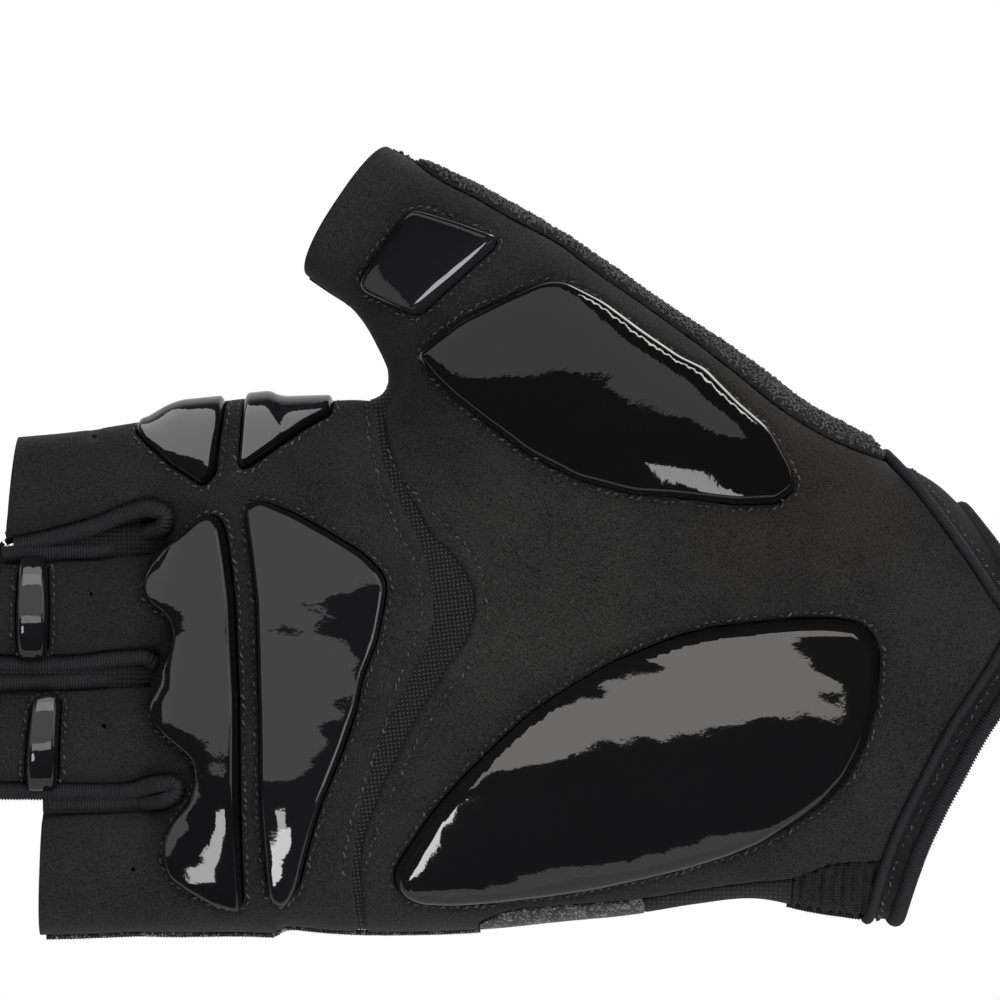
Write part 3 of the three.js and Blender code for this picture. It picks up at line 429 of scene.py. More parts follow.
# %% Cutting a mesh
def clip(points, faces, keep):
    """Cut a triangle mesh along the line where keep passes through nought."""
    inside = keep > 0
    count = inside[faces].sum(axis=1)
    parts, ends, pieces = [faces[count == 3]], [], []
    for wanted in (1, 2):
        odd = faces[count == wanted]
        turn = (inside[odd] == (wanted == 1)).argmax(axis=1)
        rows = np.arange(len(odd))
        a, b, c = (odd[rows, (turn + k) % 3] for k in range(3))
        ends.append(np.stack([np.stack([a, b], -1), np.stack([a, c], -1)], 1))
        pieces.append((a, b, c))
    edges = np.sort(np.concatenate(ends).reshape(-1, 2), axis=1)
    unique, back = np.unique(edges, axis=0, return_inverse=True)
    i, j = unique.T
    share = (keep[i] / (keep[i] - keep[j]))[:, None]
    cuts = points[i] + (points[j] - points[i]) * share
    number = back.reshape(-1, 2) + len(points)
    ones = len(pieces[0][0])
    (a, _, _), (_, b, c) = pieces
    parts.append(np.stack([a, number[:ones, 0], number[:ones, 1]], -1))
    parts.append(np.stack([number[ones:, 0], b, c], -1))
    parts.append(np.stack([number[ones:, 0], c, number[ones:, 1]], -1))
    points, faces = np.concatenate([points, cuts]), np.concatenate(parts)
    used, faces = np.unique(faces, return_inverse=True)
    return points[used], faces.reshape(-1, 3)


def cut_panel(*rules, points=None, faces=None):
    """The part of the skin where every rule is above nought."""
    points = skin_points if points is None else points
    faces = skin_faces if faces is None else faces
    for rule in rules:
        points, faces = clip(points, faces, rule(points))
    return points, faces


# %% [markdown]
# ## Finishes
#
# Every finish here is procedural and reads object coordinates, so it sticks to the cloth. Two effects
# are shared by several cloths and are made once as node groups: a fine grain, and the rows of a knit.
# The suede also changes colour in places: browner near the cuff, where its nap is browner, and, as painted
# light and shade, paler in the palm and darker on the stalls.


# %% Node helpers
def socket_of(sockets, key):
    if isinstance(key, int):
        return sockets[key]
    return next(s for s in sockets if s.name == key and s.enabled)


def node(tree, kind, inputs=None, **settings):
    """Add a node, set it up, and join or fill its inputs."""
    made = tree.nodes.new(kind)
    for key, value in settings.items():
        setattr(made, key, value)
    for key, value in (inputs or {}).items():
        target = socket_of(made.inputs, key)
        if isinstance(value, bpy.types.Node):
            tree.links.new(next(s for s in value.outputs if s.enabled), target)
        elif isinstance(value, bpy.types.NodeSocket):
            tree.links.new(value, target)
        else:
            target.default_value = value
    return made


def maths(tree, operation, a, b=0.0, c=0.0):
    return node(tree, "ShaderNodeMath", {0: a, 1: b, 2: c}, operation=operation)


def new_group(name, kind, inputs, outputs):
    """An empty node group with named inputs and outputs."""
    tree = bpy.data.node_groups.new(name, kind)
    for title, sort, value in inputs:
        made = tree.interface.new_socket(name=title, in_out="INPUT", socket_type=sort)
        if value is not None:
            made.default_value = value
    for title, sort in outputs:
        tree.interface.new_socket(name=title, in_out="OUTPUT", socket_type=sort)
    return tree, tree.nodes.new("NodeGroupInput"), tree.nodes.new("NodeGroupOutput")


# %% Shared effect: fine grain
def grain_group():
    tree, given, result = new_group("fine_grain", "ShaderNodeTree", [
        ("Grains per metre", "NodeSocketFloat", 1800.0), ("Patches per metre", "NodeSocketFloat", 90.0),
        ("Patchiness", "NodeSocketFloat", 0.5)],
        [("Grain", "NodeSocketFloat"), ("Patches", "NodeSocketFloat"), ("Mix", "NodeSocketFloat")])
    place = node(tree, "ShaderNodeTexCoord").outputs["Object"]
    fine, wide = (node(tree, "ShaderNodeTexNoise", {
        "Vector": place, "Scale": given.outputs[k], "Detail": detail, "Roughness": rough}).outputs[0]
        for k, detail, rough in ((0, 3.0, 0.65), (1, 4.0, 0.6)))
    both = maths(tree, "MULTIPLY_ADD", maths(tree, "SUBTRACT", wide, 0.5), given.outputs[2], fine)
    tree.links.new(fine, result.inputs[0])
    tree.links.new(wide, result.inputs[1])
    tree.links.new(both.outputs[0], result.inputs[2])
    return tree


# %% Shared effect: rows of a knit
# A wave texture of scale s repeats s / 0.314 times a metre
WAVE_PITCH = 1 / 0.31416


def knit_group():
    tree, given, result = new_group("knit_rows", "ShaderNodeTree", [
        ("Rows per metre", "NodeSocketFloat", 1400.0), ("Unevenness", "NodeSocketFloat", 2.0),
        ("Turn", "NodeSocketFloat", 0.0), ("Chevron", "NodeSocketFloat", 0.0)],
        [("Rows", "NodeSocketFloat"), ("Loops", "NodeSocketFloat")])
    place = node(tree, "ShaderNodeTexCoord").outputs["Object"]
    turn = node(tree, "ShaderNodeCombineXYZ", {"Y": given.outputs[2]})
    turned = node(tree, "ShaderNodeMapping", {"Vector": place, "Rotation": turn})
    apart = node(tree, "ShaderNodeSeparateXYZ", {0: turned})
    zigzag = maths(tree, "PINGPONG", apart.outputs["Z"], maths(tree, "DIVIDE", 0.5, given.outputs[0]))
    shifted = maths(tree, "MULTIPLY_ADD", zigzag, given.outputs[3], apart.outputs["X"])
    chevrons = node(tree, "ShaderNodeCombineXYZ", {"X": shifted, "Y": apart.outputs["Y"],
                                                   "Z": apart.outputs["Z"]})
    scale = maths(tree, "DIVIDE", given.outputs[0], WAVE_PITCH)
    rows, across = (node(tree, "ShaderNodeTexWave", {
        "Vector": vector, "Scale": scale, "Distortion": given.outputs[1], "Detail": 2.0,
        "Detail Scale": 1.5}, wave_type="BANDS", bands_direction=way)
        for vector, way in ((chevrons, "X"), (turned, "Z")))
    loops = maths(tree, "MULTIPLY", rows.outputs["Fac"], across.outputs["Fac"])
    tree.links.new(rows.outputs["Fac"], result.inputs[0])
    tree.links.new(loops.outputs[0], result.inputs[1])
    return tree


GRAIN, KNIT = grain_group(), knit_group()
print("shared effects:", GRAIN.name, KNIT.name)


# %% A finish from a colour ramp and a bump
def ramp(tree, value, stops):
    made = node(tree, "ShaderNodeValToRGB", {"Fac": value})
    elements = made.color_ramp.elements
    while len(elements) < len(stops):
        elements.new(0.5)
    for element, (at, colour) in zip(elements, stops):
        element.position, element.color = at, (*colour, 1)
    return made.outputs["Color"]


def grey(level):
    return (level, level, level)


def finish(name, roughness, metallic=0.0, **plain):
    """An empty finish: its tree and its surface node."""
    material = bpy.data.materials.new(name)
    material.use_nodes = True
    tree = material.node_tree
    tree.nodes.clear()
    surface = node(tree, "ShaderNodeBsdfPrincipled", {"Roughness": roughness, "Metallic": metallic})
    for key, value in plain.items():
        surface.inputs[key.replace("_", " ")].default_value = value
    output = tree.nodes.new("ShaderNodeOutputMaterial")
    tree.links.new(surface.outputs[0], output.inputs[0])
    return material, tree, surface


def bump(tree, surface, height, deep):
    made = node(tree, "ShaderNodeBump", {"Height": height, "Distance": deep * MM, "Strength": 1.0})
    tree.links.new(made.outputs[0], surface.inputs["Normal"])


def cloth(name, dark, light, grains, patches, deep, patchiness=0.5, roughness=0.95, **plain):
    """A matt cloth: mottled by its grain, which is also its relief."""
    material, tree, surface = finish(name, roughness, **plain)
    group = node(tree, "ShaderNodeGroup", node_tree=GRAIN)
    for key, value in zip(range(3), (grains, patches, patchiness)):
        group.inputs[key].default_value = value
    colour = ramp(tree, group.outputs["Mix"], [(0.34, dark), (0.68, light)])
    tree.links.new(colour, surface.inputs["Base Color"])
    bump(tree, surface, group.outputs["Grain"], deep)
    return material


SUEDE = cloth("suede", (0.0012, 0.0012, 0.0015), (0.042, 0.0405, 0.04), 3300, 70, 0.16, 0.25,
              Sheen_Weight=0.04, Sheen_Roughness=0.5)
TERRY_GROUND = cloth("terry_ground", grey(0.006), grey(0.03), 2600, 200, 0.2, 0.5)
TERRY = cloth("terry", (0.03, 0.03, 0.033), (0.12, 0.12, 0.127), 2600, 200, 0.2, 0.5,
              Sheen_Weight=0.2, Sheen_Roughness=0.6)


def nap_tint_and_painted_light(material, middle, reach, strength, cast):
    """A cast of another colour round one place. It gives the suede a browner nap near the cuff, painted
    light in the palm and painted shade on the stalls.
    """
    tree = material.node_tree
    surface = next(n for n in tree.nodes if n.type == "BSDF_PRINCIPLED")
    colour = surface.inputs["Base Color"].links[0].from_socket
    place = node(tree, "ShaderNodeTexCoord").outputs["Object"]
    away = node(tree, "ShaderNodeVectorMath", {0: place, 1: Vector(middle) * MM}, operation="DISTANCE")
    near = node(tree, "ShaderNodeMapRange", {"Value": away.outputs["Value"], "From Min": reach * MM,
                                             "From Max": 0.0, "To Min": 0.0, "To Max": strength})
    mixed = node(tree, "ShaderNodeMix", {"Factor": near, "A": colour, "B": (*cast, 1)},
                 data_type="RGBA", blend_type="MULTIPLY")
    tree.links.new(next(o for o in mixed.outputs if o.enabled), surface.inputs["Base Color"])


# A browner nap near the thumb side of the cuff
nap_tint_and_painted_light(SUEDE, (-14, -16, 36), 26, 0.8, (1.1, 0.92, 0.8))
# Painted shade: the suede of the finger stalls is darkened in its colour, standing in for less light there
nap_tint_and_painted_light(SUEDE, (-146, -8, 8), 60, 1.0, (0.72, 0.72, 0.74))
# Painted light: the suede in the hollow of the palm is paled in its colour, standing in for more light
# there
nap_tint_and_painted_light(SUEDE, (-52, -14, 18), 34, 1.0, (1.5, 1.48, 1.45))


def gel_finish():
    """Black gel under a clear film, whose faint ripple frays the edges of what it mirrors."""
    material, tree, surface = finish("gel", 0.05, IOR=1.5)
    surface.inputs["Base Color"].default_value = (0.0075, 0.0075, 0.0085, 1)
    place = node(tree, "ShaderNodeTexCoord").outputs["Object"]
    ripple = node(tree, "ShaderNodeTexNoise", {"Vector": place, "Scale": 850.0, "Detail": 2.0,
                                               "Roughness": 0.5})
    bump(tree, surface, ripple.outputs[0], 0.016)
    return material


GEL = gel_finish()
print("finishes:", [m.name for m in (SUEDE, TERRY, GEL)])


# %% Knitted finishes
def knitted(name, dark, light, rows, turn, deep, uneven=2.0, roughness=0.9, chevron=0.0, **plain):
    material, tree, surface = finish(name, roughness, **plain)
    group = node(tree, "ShaderNodeGroup", node_tree=KNIT)
    for key, value in zip(range(4), (rows, uneven, turn, chevron)):
        group.inputs[key].default_value = value
    tree.links.new(ramp(tree, group.outputs["Loops"], [(0.1, dark), (0.8, light)]),
                   surface.inputs["Base Color"])
    bump(tree, surface, group.outputs["Loops"], deep)
    return material


BACK_KNIT = knitted("knit", grey(0.008), grey(0.03), 1300, 0.0, 0.2)
MESH_KNIT = knitted("mesh_knit", grey(0.003), grey(0.085), 1500, 0.12, 0.3, chevron=1.2)
GATHERED = knitted("gathered_knit", grey(0.006), (0.035, 0.035, 0.039), 1900, 0.0, 0.2, chevron=1.0)
RIBBED = knitted("ribbed", (0.01, 0.01, 0.012), (0.05, 0.05, 0.056), 4400, 0.4, 0.04, roughness=0.7)
# The cuff strip turns every way round the wrist, where rows would show as rings, so it only has a grain
CUFF_STRIP = cloth("cuff_knit", (0.002, 0.002, 0.003), (0.015, 0.015, 0.017), 2600, 300, 0.2, 0.3)
THREAD = cloth("thread", grey(0.004), grey(0.17), 4000, 900, 0.05, roughness=0.4)


# %% Silver finish
def silver_finish():
    """Silver cloth of small glass beads: bright and dark specks side by side."""
    material, tree, surface = finish("silver", 0.45, metallic=0.5)
    group = node(tree, "ShaderNodeGroup", node_tree=GRAIN)
    group.inputs[0].default_value, group.inputs[1].default_value = 2600, 400
    colour = ramp(tree, group.outputs["Mix"], [(0.4, grey(0.012)), (0.54, grey(0.05)), (0.66, grey(0.42))])
    tree.links.new(colour, surface.inputs["Base Color"])
    bump(tree, surface, group.outputs["Grain"], 0.2)
    return material


SILVER = silver_finish()


# %% [markdown]
# ## Putting a piece in the frame
#
# Each mesh is made in millimetres, scaled to metres and left at the origin. Cloth panels are lifted off
# the form by their own relief, and get their thickness from a Solidify modifier that grows inwards, so
# that the seams stay where they were drawn.


# %% Pieces
def build(name, points, faces, material):
    """An object from points in millimetres, smooth shaded."""
    mesh = bpy.data.meshes.new(name)
    mesh.vertices.add(len(points))
    mesh.vertices.foreach_set("co", (np.asarray(points) * MM).astype(np.float32).ravel())
    faces = np.asarray(faces)
    mesh.loops.add(faces.size)
    mesh.loops.foreach_set("vertex_index", faces.ravel().astype(np.int32))
    mesh.polygons.add(len(faces))
    mesh.polygons.foreach_set("loop_start", np.arange(0, faces.size, faces.shape[1], dtype=np.int32))
    mesh.polygons.foreach_set("use_smooth", np.ones(len(faces), bool))
    mesh.update(calc_edges=True)
    mesh.materials.append(material)
    piece = bpy.data.objects.new(name, mesh)
    bpy.context.scene.collection.objects.link(piece)
    return piece


def place(piece, *nodes, finish_slot=None):
    """Fix a finished piece to the glove, in place of the solids it stands for."""
    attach(piece, "root")
    if nodes:
        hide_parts(*nodes)
    print(piece.name, "stands for", ", ".join(nodes) or "nothing in the solids")


def raised(points, normals, height):
    return points + normals * np.broadcast_to(height, len(points))[:, None]


def panel(name, points, faces, height, material, wall, solid, finish_slot):
    """A cloth panel: part of the skin at a height over the form, with a wall in millimetres."""
    piece = build(name, raised(points, outward(points), height), faces, material)
    modifier = piece.modifiers.new("wall", "SOLIDIFY")
    modifier.thickness, modifier.offset = wall * MM, -1
    modifier.use_even_offset = False
    place(piece, solid, finish_slot=finish_slot)


# %% [markdown]
# ## Gel pad outlines
#
# The pads are wanted first, because the suede is cut out and dips around each of them. An outline is a
# handful of points in the plane of the palm, joined by straight sides with softened corners. The two
# pads on the side of the forefinger run on round the side, so their far points are given as an angle
# round the finger.

# %% Pad outlines, x and z in millimetres, and heights
PADS = {
    "thumb_pad": (2.6, [(-78.0, 78.0), (-77.1, 78.2), (-70.4, 76.0), (-63.7, 73.4), (-64.0, 72.4),
                        (-70.5, 66.4), (-76.9, 60.7), (-78.0, 60.9), (-81.7, 62.7), (-85.5, 64.8),
                        (-86.5, 66.2), (-86.1, 67.7), (-82.7, 72.4), (-79.4, 77.2)]),
    "thenar_pad": (4.2, [(-76.6, 54.9), (-69.8, 60.1), (-63.0, 63.4), (-57.6, 65.8), (-55.1, 66.2),
                         (-52.8, 65.8), (-46.7, 62.5), (-40.4, 57.8), (-34.3, 53.6), (-30.2, 51.6),
                         (-24.8, 46.2), (-20.0, 42.1), (-17.0, 37.3), (-15.8, 35.3), (-15.3, 32.2),
                         (-18.3, 29.9), (-24.8, 29.7), (-35.0, 31.0), (-41.9, 31.5), (-50.7, 33.8),
                         (-58.9, 38.0), (-65.7, 43.1), (-70.5, 46.9), (-73.9, 50.3), (-75.9, 53.0)]),
    "hypothenar_pad": (4.2, [(-81.0, -30.7), (-79.9, -28.7), (-74.4, -20.5), (-69.6, -15.0), (-63.5, -8.9),
                             (-58.1, -4.1), (-50.7, 0.7), (-45.2, 3.8), (-39.6, 6.1), (-34.2, 8.2),
                             (-28.7, 9.6), (-21.9, 10.4), (-15.2, 11.1), (-9.7, 11.2), (-5.0, 10.6),
                             (-2.8, 8.9), (-1.5, 6.1), (-1.5, 2.0), (-2.1, -3.5), (-4.3, -10.2),
                             (-6.9, -15.0), (-10.4, -18.8), (-14.5, -21.8), (-20.0, -25.2),
                             (-26.1, -27.6), (-32.8, -29.7), (-39.6, -31.4), (-47.9, -33.2),
                             (-56.1, -34.5), (-64.2, -35.5), (-71.1, -36.0), (-76.6, -35.8),
                             (-79.2, -34.8), (-80.7, -33.2)]),
    "knuckle_pad": (3.4, [(-110.7, 28.1), (-109.6, 27.7), (-108.7, 25.6), (-107.9, 20.6), (-107.1, 14.0),
                          (-106.8, 5.8), (-106.4, -2.5), (-106.3, -19.0), (-106.1, -28.9), (-105.9, -36.6),
                          (-106.1, -36.8), (-110.7, -35.8), (-114.7, -33.8), (-117.8, -31.8),
                          (-118.8, -28.9), (-118.5, -26.1), (-116.7, -22.3), (-113.9, -18.5),
                          (-113.0, -15.2), (-113.4, -12.4), (-116.3, -9.9), (-119.6, -7.1),
                          (-120.8, -5.3), (-120.0, -2.3), (-118.3, 2.3), (-116.7, 5.9), (-116.5, 8.6),
                          (-117.3, 11.1), (-120.0, 12.9), (-122.1, 14.9), (-121.6, 17.3), (-119.6, 20.6),
                          (-116.3, 23.8), (-112.4, 27.4)]),
    "palm_bar_pad": (3.4, [(-105.3, 29.0), (-102.8, 30.5), (-97.0, 28.2), (-91.6, 25.2), (-86.1, 21.9),
                           (-82.8, 18.6), (-82.0, 16.5), (-82.5, 13.2), (-83.7, 7.4), (-86.1, 1.2),
                           (-87.0, -3.8), (-89.1, -10.1), (-90.8, -14.4), (-92.7, -19.0), (-94.1, -23.4),
                           (-95.4, -28.1), (-96.5, -32.7), (-97.4, -34.3), (-99.5, -36.3), (-101.6, -34.8),
                           (-102.1, -30.2), (-102.8, -17.7), (-103.0, -5.1), (-103.3, 7.4),
                           (-103.5, 14.0), (-104.3, 21.1), (-104.9, 25.2)]),
    "middle_finger_pad": (2.4, [(-143.1, 20.1), (-138.3, 20.3), (-137.9, 12.4), (-138.3, 5.0),
                                (-143.4, 5.0), (-143.4, 12.4)]),
    "ring_finger_pad": (2.4, [(-140.7, -2.5), (-136.0, -1.8), (-136.3, -9.1), (-136.6, -16.5),
                              (-142.1, -16.7), (-141.6, -9.1)]),
}
# Height, points seen from the palm, then points on the side: x and degrees round the finger
SIDE_PADS = {
    "index_pad_outer": (1.15, [(-109.4, 43.7), (-109.9, 39.9), (-110.4, 34.8), (-112.5, 32.7),
                              (-117.8, 36.1), (-122.1, 39.9), (-123.9, 42.0)],
                        [(-123.4, 72), (-116.0, 80), (-109.0, 82)]),
    "index_pad_inner": (1.15, [(-91.5, 44.8), (-95.4, 42.7), (-101.1, 38.6), (-105.6, 35.5),
                              (-106.6, 36.0), (-106.3, 40.4)],
                        [(-105.8, 82), (-98.0, 82), (-91.0, 78)]),
}
# The axis of the forefinger, y and z, and the radius that turns its angles into lengths
SIDE_AXIS, SIDE_RADIUS = (2.0, 33.0), 12.0


# %% Places on the palm side
# A place is found by looking down at the palm in even steps, and then by halving the step it lies in
LOOK_FROM, LOOKS, HALVINGS = -30.0, 60, 14
# Rounds and share of each move when a place is found by walking in from outside
WALKS, WALK_SHARE = 40, 0.8


def front_spot(x, z):
    """The points of the palm side over places in the plane of the palm."""
    x, z = np.asarray(x, float), np.asarray(z, float)
    depth, hit = np.full(x.shape, SIDE_LINE), np.zeros(x.shape, bool)
    looks = np.linspace(LOOK_FROM, SIDE_LINE + 1, LOOKS)
    before = looks[0]
    for y in looks:
        y = np.full(x.shape, y)
        found = ~hit & (hand(np.stack([x, y, z], -1)) < 0)
        depth = np.where(found, before, depth)
        hit |= found
        before = y
    upper, lower = depth, depth + looks[1] - looks[0]
    for _ in range(HALVINGS):
        middle = (upper + lower) / 2
        outside = hand(np.stack([x, middle, z], -1)) > 0
        upper, lower = np.where(outside, middle, upper), np.where(outside, lower, middle)
    return np.stack([x, (upper + lower) / 2, z], -1)


def side_spot(x, w):
    """The points of the hand's surface at places and arc lengths round the side of the forefinger."""
    angle = np.asarray(w) / SIDE_RADIUS
    reach = np.full(np.shape(x), 2.0)
    way = np.stack([np.zeros_like(angle), -np.cos(angle), np.sin(angle)], -1)
    axis = np.stack([x, np.full(np.shape(x), SIDE_AXIS[0]), np.full(np.shape(x), SIDE_AXIS[1])], -1)
    for _ in range(WALKS):
        reach = reach - hand(axis + way * reach[..., None]) * WALK_SHARE
    return axis + way * reach[..., None]


def side_outline(seen, over):
    spots = front_spot(*np.array(seen).T)
    angles = np.arctan2(spots[:, 2] - SIDE_AXIS[1], SIDE_AXIS[0] - spots[:, 1])
    arc = [(x, a * SIDE_RADIUS) for (x, _), a in zip(seen, angles)]
    return arc + [(x, math.radians(a) * SIDE_RADIUS) for x, a in over]


CORNER_RADIUS, SIDE_CORNER_RADIUS = 0.8, 0.6
PAD_LOOPS = {name: softened(points, CORNER_RADIUS) for name, (_, points) in PADS.items()}
SIDE_LOOPS = {name: softened(side_outline(seen, over), SIDE_CORNER_RADIUS)
              for name, (_, seen, over) in SIDE_PADS.items()}
ALL_LOOPS = {**PAD_LOOPS, **SIDE_LOOPS}
print("pads:", len(ALL_LOOPS))

# %% [markdown]
# ## The relief of the suede
#
# Suede is thin foam-backed leather. It dips along its stitches, rolls down at its cut edges, at the
# windows of the pads and into the vent holes of the stalls, and creases in the crotch of the thumb.
# These are real changes of shape, a few tenths of a millimetre to a millimetre, so they are made in the
# mesh. Only its nap is left to the finish.

# %% Relief
WINDOW_GAP, STITCH_AWAY, FURROW_DEPTH, FURROW_REACH = 0.2, 0.8, 0.42, 0.65
# How far outside a pad's outline it is still looked for
PAD_MARGIN = 3


def off_pads(points):
    """Distance outside the nearest pad's outline."""
    x, y, z = points.T
    away = np.full(len(points), FAR_AWAY)
    arc = np.arctan2(z - SIDE_AXIS[1], SIDE_AXIS[0] - y) * SIDE_RADIUS
    on_side = (z > 30) & (z < 50) & (x < -85)
    for name, loop in ALL_LOOPS.items():
        across = arc if name in SIDE_LOOPS else z
        (low_x, low_w), (high_x, high_w) = loop.min(axis=0) - PAD_MARGIN, loop.max(axis=0) + PAD_MARGIN
        near = (x > low_x) & (x < high_x) & (across > low_w) & (across < high_w) & (y < SIDE_LINE)
        if name in SIDE_LOOPS:
            near &= on_side
        away[near] = np.minimum(away[near], loop_distance(x[near], across[near], loop))
    return away


def edge_roll(distance, reach, roll):
    """How far cloth turns down towards a cut edge."""
    return roll * (1 - np.sqrt(1 - (1 - np.clip(distance / reach, 0, 1)) ** 2))


def furrow(distance):
    """How far cloth is pulled down by a row of stitches, by the distance from the row."""
    t = np.clip(np.abs(distance) / FURROW_REACH, 0, 1)
    return FURROW_DEPTH * (1 - t * t) ** 2


# %% Rules for the panels
# Half the gap at a seam, and the room that the cuff's cord takes on each side of its line
HALF_GAP, PIPE_ROOM = 0.01, 0.75


def in_front(p):
    return SIDE_LINE - HALF_GAP - p[:, 1]


def under_thumb_seam(p):
    return -over_line(p[:, 0], p[:, 2], THUMB_SEAM) - HALF_GAP


def hand_side(p):
    return -past_line(p[:, 0], p[:, 2], CUFF_SEAM) - PIPE_ROOM


def over_ulnar(p):
    return np.where(p[:, 0] < PATCH_FROM, ALWAYS, over_line(p[:, 0], p[:, 2], ULNAR_SEAM) - HALF_GAP)


def heel_side(p):
    beside = past_line(p[:, 0], p[:, 2], INSERT_RIGHT) - HALF_GAP
    return np.maximum(beside, p[:, 2] - CROTCH_Z - HALF_GAP)


def finger_side(p):
    return np.minimum(-past_line(p[:, 0], p[:, 2], INSERT_LEFT) - HALF_GAP, CROTCH_Z - HALF_GAP - p[:, 2])


def off_slots(p, room=0.0):
    away = np.full(len(p), FAR_AWAY)
    near = p[:, 0] < SLOT_END_X
    for loop in SLOT_LOOPS.values():
        away[near] = np.minimum(away[near], loop_distance(p[near, 0], p[near, 2], loop) - room)
    return away


SLOT_LOOPS = {name: smooth_line(points, 0.8, closed=True) for name, points in SLOTS.items()}
# Vent holes at the roots of the stalls
VENTS, VENT_RADIUS = [(-130.8, 41.4), (-131.0, 15.2), (-128.9, -6.8), (-124.2, -30.5)], 0.45
# A crease where the thumb folds in towards the palm
THUMB_CREASE = smooth_line([(-83.5, 47.0), (-80.7, 49.8), (-80.4, 52.1), (-77.4, 56.3), (-75.0, 59.5)])
CREASE_DEPTH, CREASE_REACH, VENT_DIP, VENT_REACH = 0.9, 2.2, 0.35, 0.7
# Reach and depth of the roll at the suede's edges and at the windows of the pads
EDGE_ROLL, WINDOW_ROLL = (1.1, 0.6), (0.5, 0.4)
# Rows of stitches beside the insert, from the index side down
INSERT_ROWS = {
    "fingers": smooth_line([(-85.6, 46.2), (-85.1, 40.4), (-83.7, 35.5), (-82.0, 29.7), (-80.4, 25.6),
                            (-77.5, 20.6), (-76.6, 15.7), (-76.4, 12.4), (-77.5, 7.4), (-79.2, 3.3),
                            (-81.3, -2.5), (-83.3, -9.1), (-86.3, -17.3), (-88.6, -25.6), (-89.4, -32.2)]),
    "heel": smooth_line([(-82.0, 38.8), (-80.0, 34.6), (-76.7, 30.5), (-73.4, 27.2), (-69.3, 23.1),
                         (-66.8, 19.0), (-65.7, 14.0), (-65.7, 9.9), (-66.8, 6.6), (-68.5, 3.3),
                         (-71.8, -0.8), (-75.1, -5.8), (-77.5, -9.9), (-80.0, -14.9), (-82.5, -20.6),
                         (-84.6, -26.4), (-85.8, -30.5)]),
}


def off_vents(p):
    away = np.min([np.hypot(p[:, 0] - x, p[:, 2] - z) for x, z in VENTS], axis=0)
    return away - VENT_RADIUS


def pad_windows(p):
    return off_pads(p) - WINDOW_GAP


def suede_relief(points, to_edge):
    """The suede's height: it rolls down at its edges and sinks along its stitches."""
    away = off_pads(points)
    height = -edge_roll(to_edge, *EDGE_ROLL) - edge_roll(away - WINDOW_GAP, *WINDOW_ROLL)
    height = height - furrow(away - STITCH_AWAY)
    for row in INSERT_ROWS.values():
        height = height - furrow(line_distance(points[:, 0], points[:, 2], row))
    crease = line_distance(points[:, 0], points[:, 2], THUMB_CREASE) / CREASE_REACH
    vent = np.clip(off_vents(points), 0, ALWAYS) / VENT_REACH
    return height - CREASE_DEPTH * np.exp(-crease**2) - VENT_DIP * np.exp(-vent**2)


# %% [markdown]
# ## Suede panels
#
# The heel panel carries the two big pads and runs up the front of the thumb. The finger panel lies
# across the knuckles and along the fronts of the stalls, and is cut out around the slots and the vent
# holes. First the skin is cut off at the mouths, which every panel shares.

# %% Heel of the palm
SUEDE_WALL, CORD_COVER = 1.5, 0.3
skin_points, skin_faces = clip(skin_points, skin_faces, mouth_room(skin_points))
points, faces = cut_panel(in_front, under_thumb_seam, hand_side, over_ulnar, heel_side, pad_windows)
to_edge = np.minimum.reduce([under_thumb_seam(points), heel_side(points), over_ulnar(points),
                             hand_side(points) + CORD_COVER])
panel("heel_suede", points, faces, suede_relief(points, to_edge), SUEDE, SUEDE_WALL, "palm_heel", "suede")

# %% Knuckles and finger stalls
points, faces = cut_panel(in_front, finger_side, off_slots, pad_windows, off_vents)
to_edge = np.minimum(finger_side(points), off_slots(points))
panel("finger_suede", points, faces, suede_relief(points, to_edge), SUEDE, SUEDE_WALL, "palm_fingers",
      "suede")

# %% [markdown]
# ## Knit and towelling panels
#
# The mesh insert lies a little below the suede, so that the suede's folded edges stand over it, and
# rises to meet the back at the side. The towelling is a dark ground that stands proud, on which loops
# are set further on. The knit back is plain: the photograph doesn't show it.


# %% Insert between the two suede panels
INSERT_UNDER, INSERT_OVERRUN = 0.9, 0.5
INSERT_SINK, INSERT_RISE, RISE_FROM, RISE_OVER = 0.75, 0.65, -2.0, 3.5


def insert_room(p):
    x, _, z = p.T
    beside = np.minimum(past_line(x, z, INSERT_LEFT), -past_line(x, z, INSERT_RIGHT))
    return np.minimum(beside + INSERT_UNDER, CROTCH_Z + INSERT_OVERRUN - z)


points, faces = cut_panel(in_front, insert_room)
height = INSERT_RISE * np.clip((points[:, 1] - RISE_FROM) / RISE_OVER, 0, 1) - INSERT_SINK
panel("insert_mesh", points, faces, height, MESH_KNIT, 0.8, "palm_insert", "mesh_knit")


# %% Towelling over the thumb
# Left of its first place the seam at the back of the thumb runs level, at the second
BACK_SEAM_FROM, BACK_SEAM_Z = -82, 54


def thumb_cloth(p):
    x, y, z = p.T
    back_line = np.where(x < BACK_SEAM_FROM, z - BACK_SEAM_Z, over_line(x, z, BACK_THUMB_SEAM))
    return np.maximum(over_line(x, z, THUMB_SEAM), np.minimum(back_line, y - SIDE_LINE)) - HALF_GAP


TERRY_STAND, TERRY_ROLL = 0.55, (0.6, 0.8)


def terry_height(p):
    return TERRY_STAND - edge_roll(thumb_cloth(p), *TERRY_ROLL)


terry_points, terry_faces = cut_panel(thumb_cloth, hand_side)
panel("thumb_terry", terry_points, terry_faces, terry_height(terry_points), TERRY_GROUND, 1.6, "thumb_back",
      "terry")


# %% Knit back of the glove
BACK_ROLL, SLOT_MARGIN = (0.8, 0.3), 0.2


def under_ulnar(x, z):
    """Distance below the seam on the little-finger side, for the lower half of the hand."""
    return np.where(z < 0, -over_line(x, z, ULNAR_SEAM), NEVER)


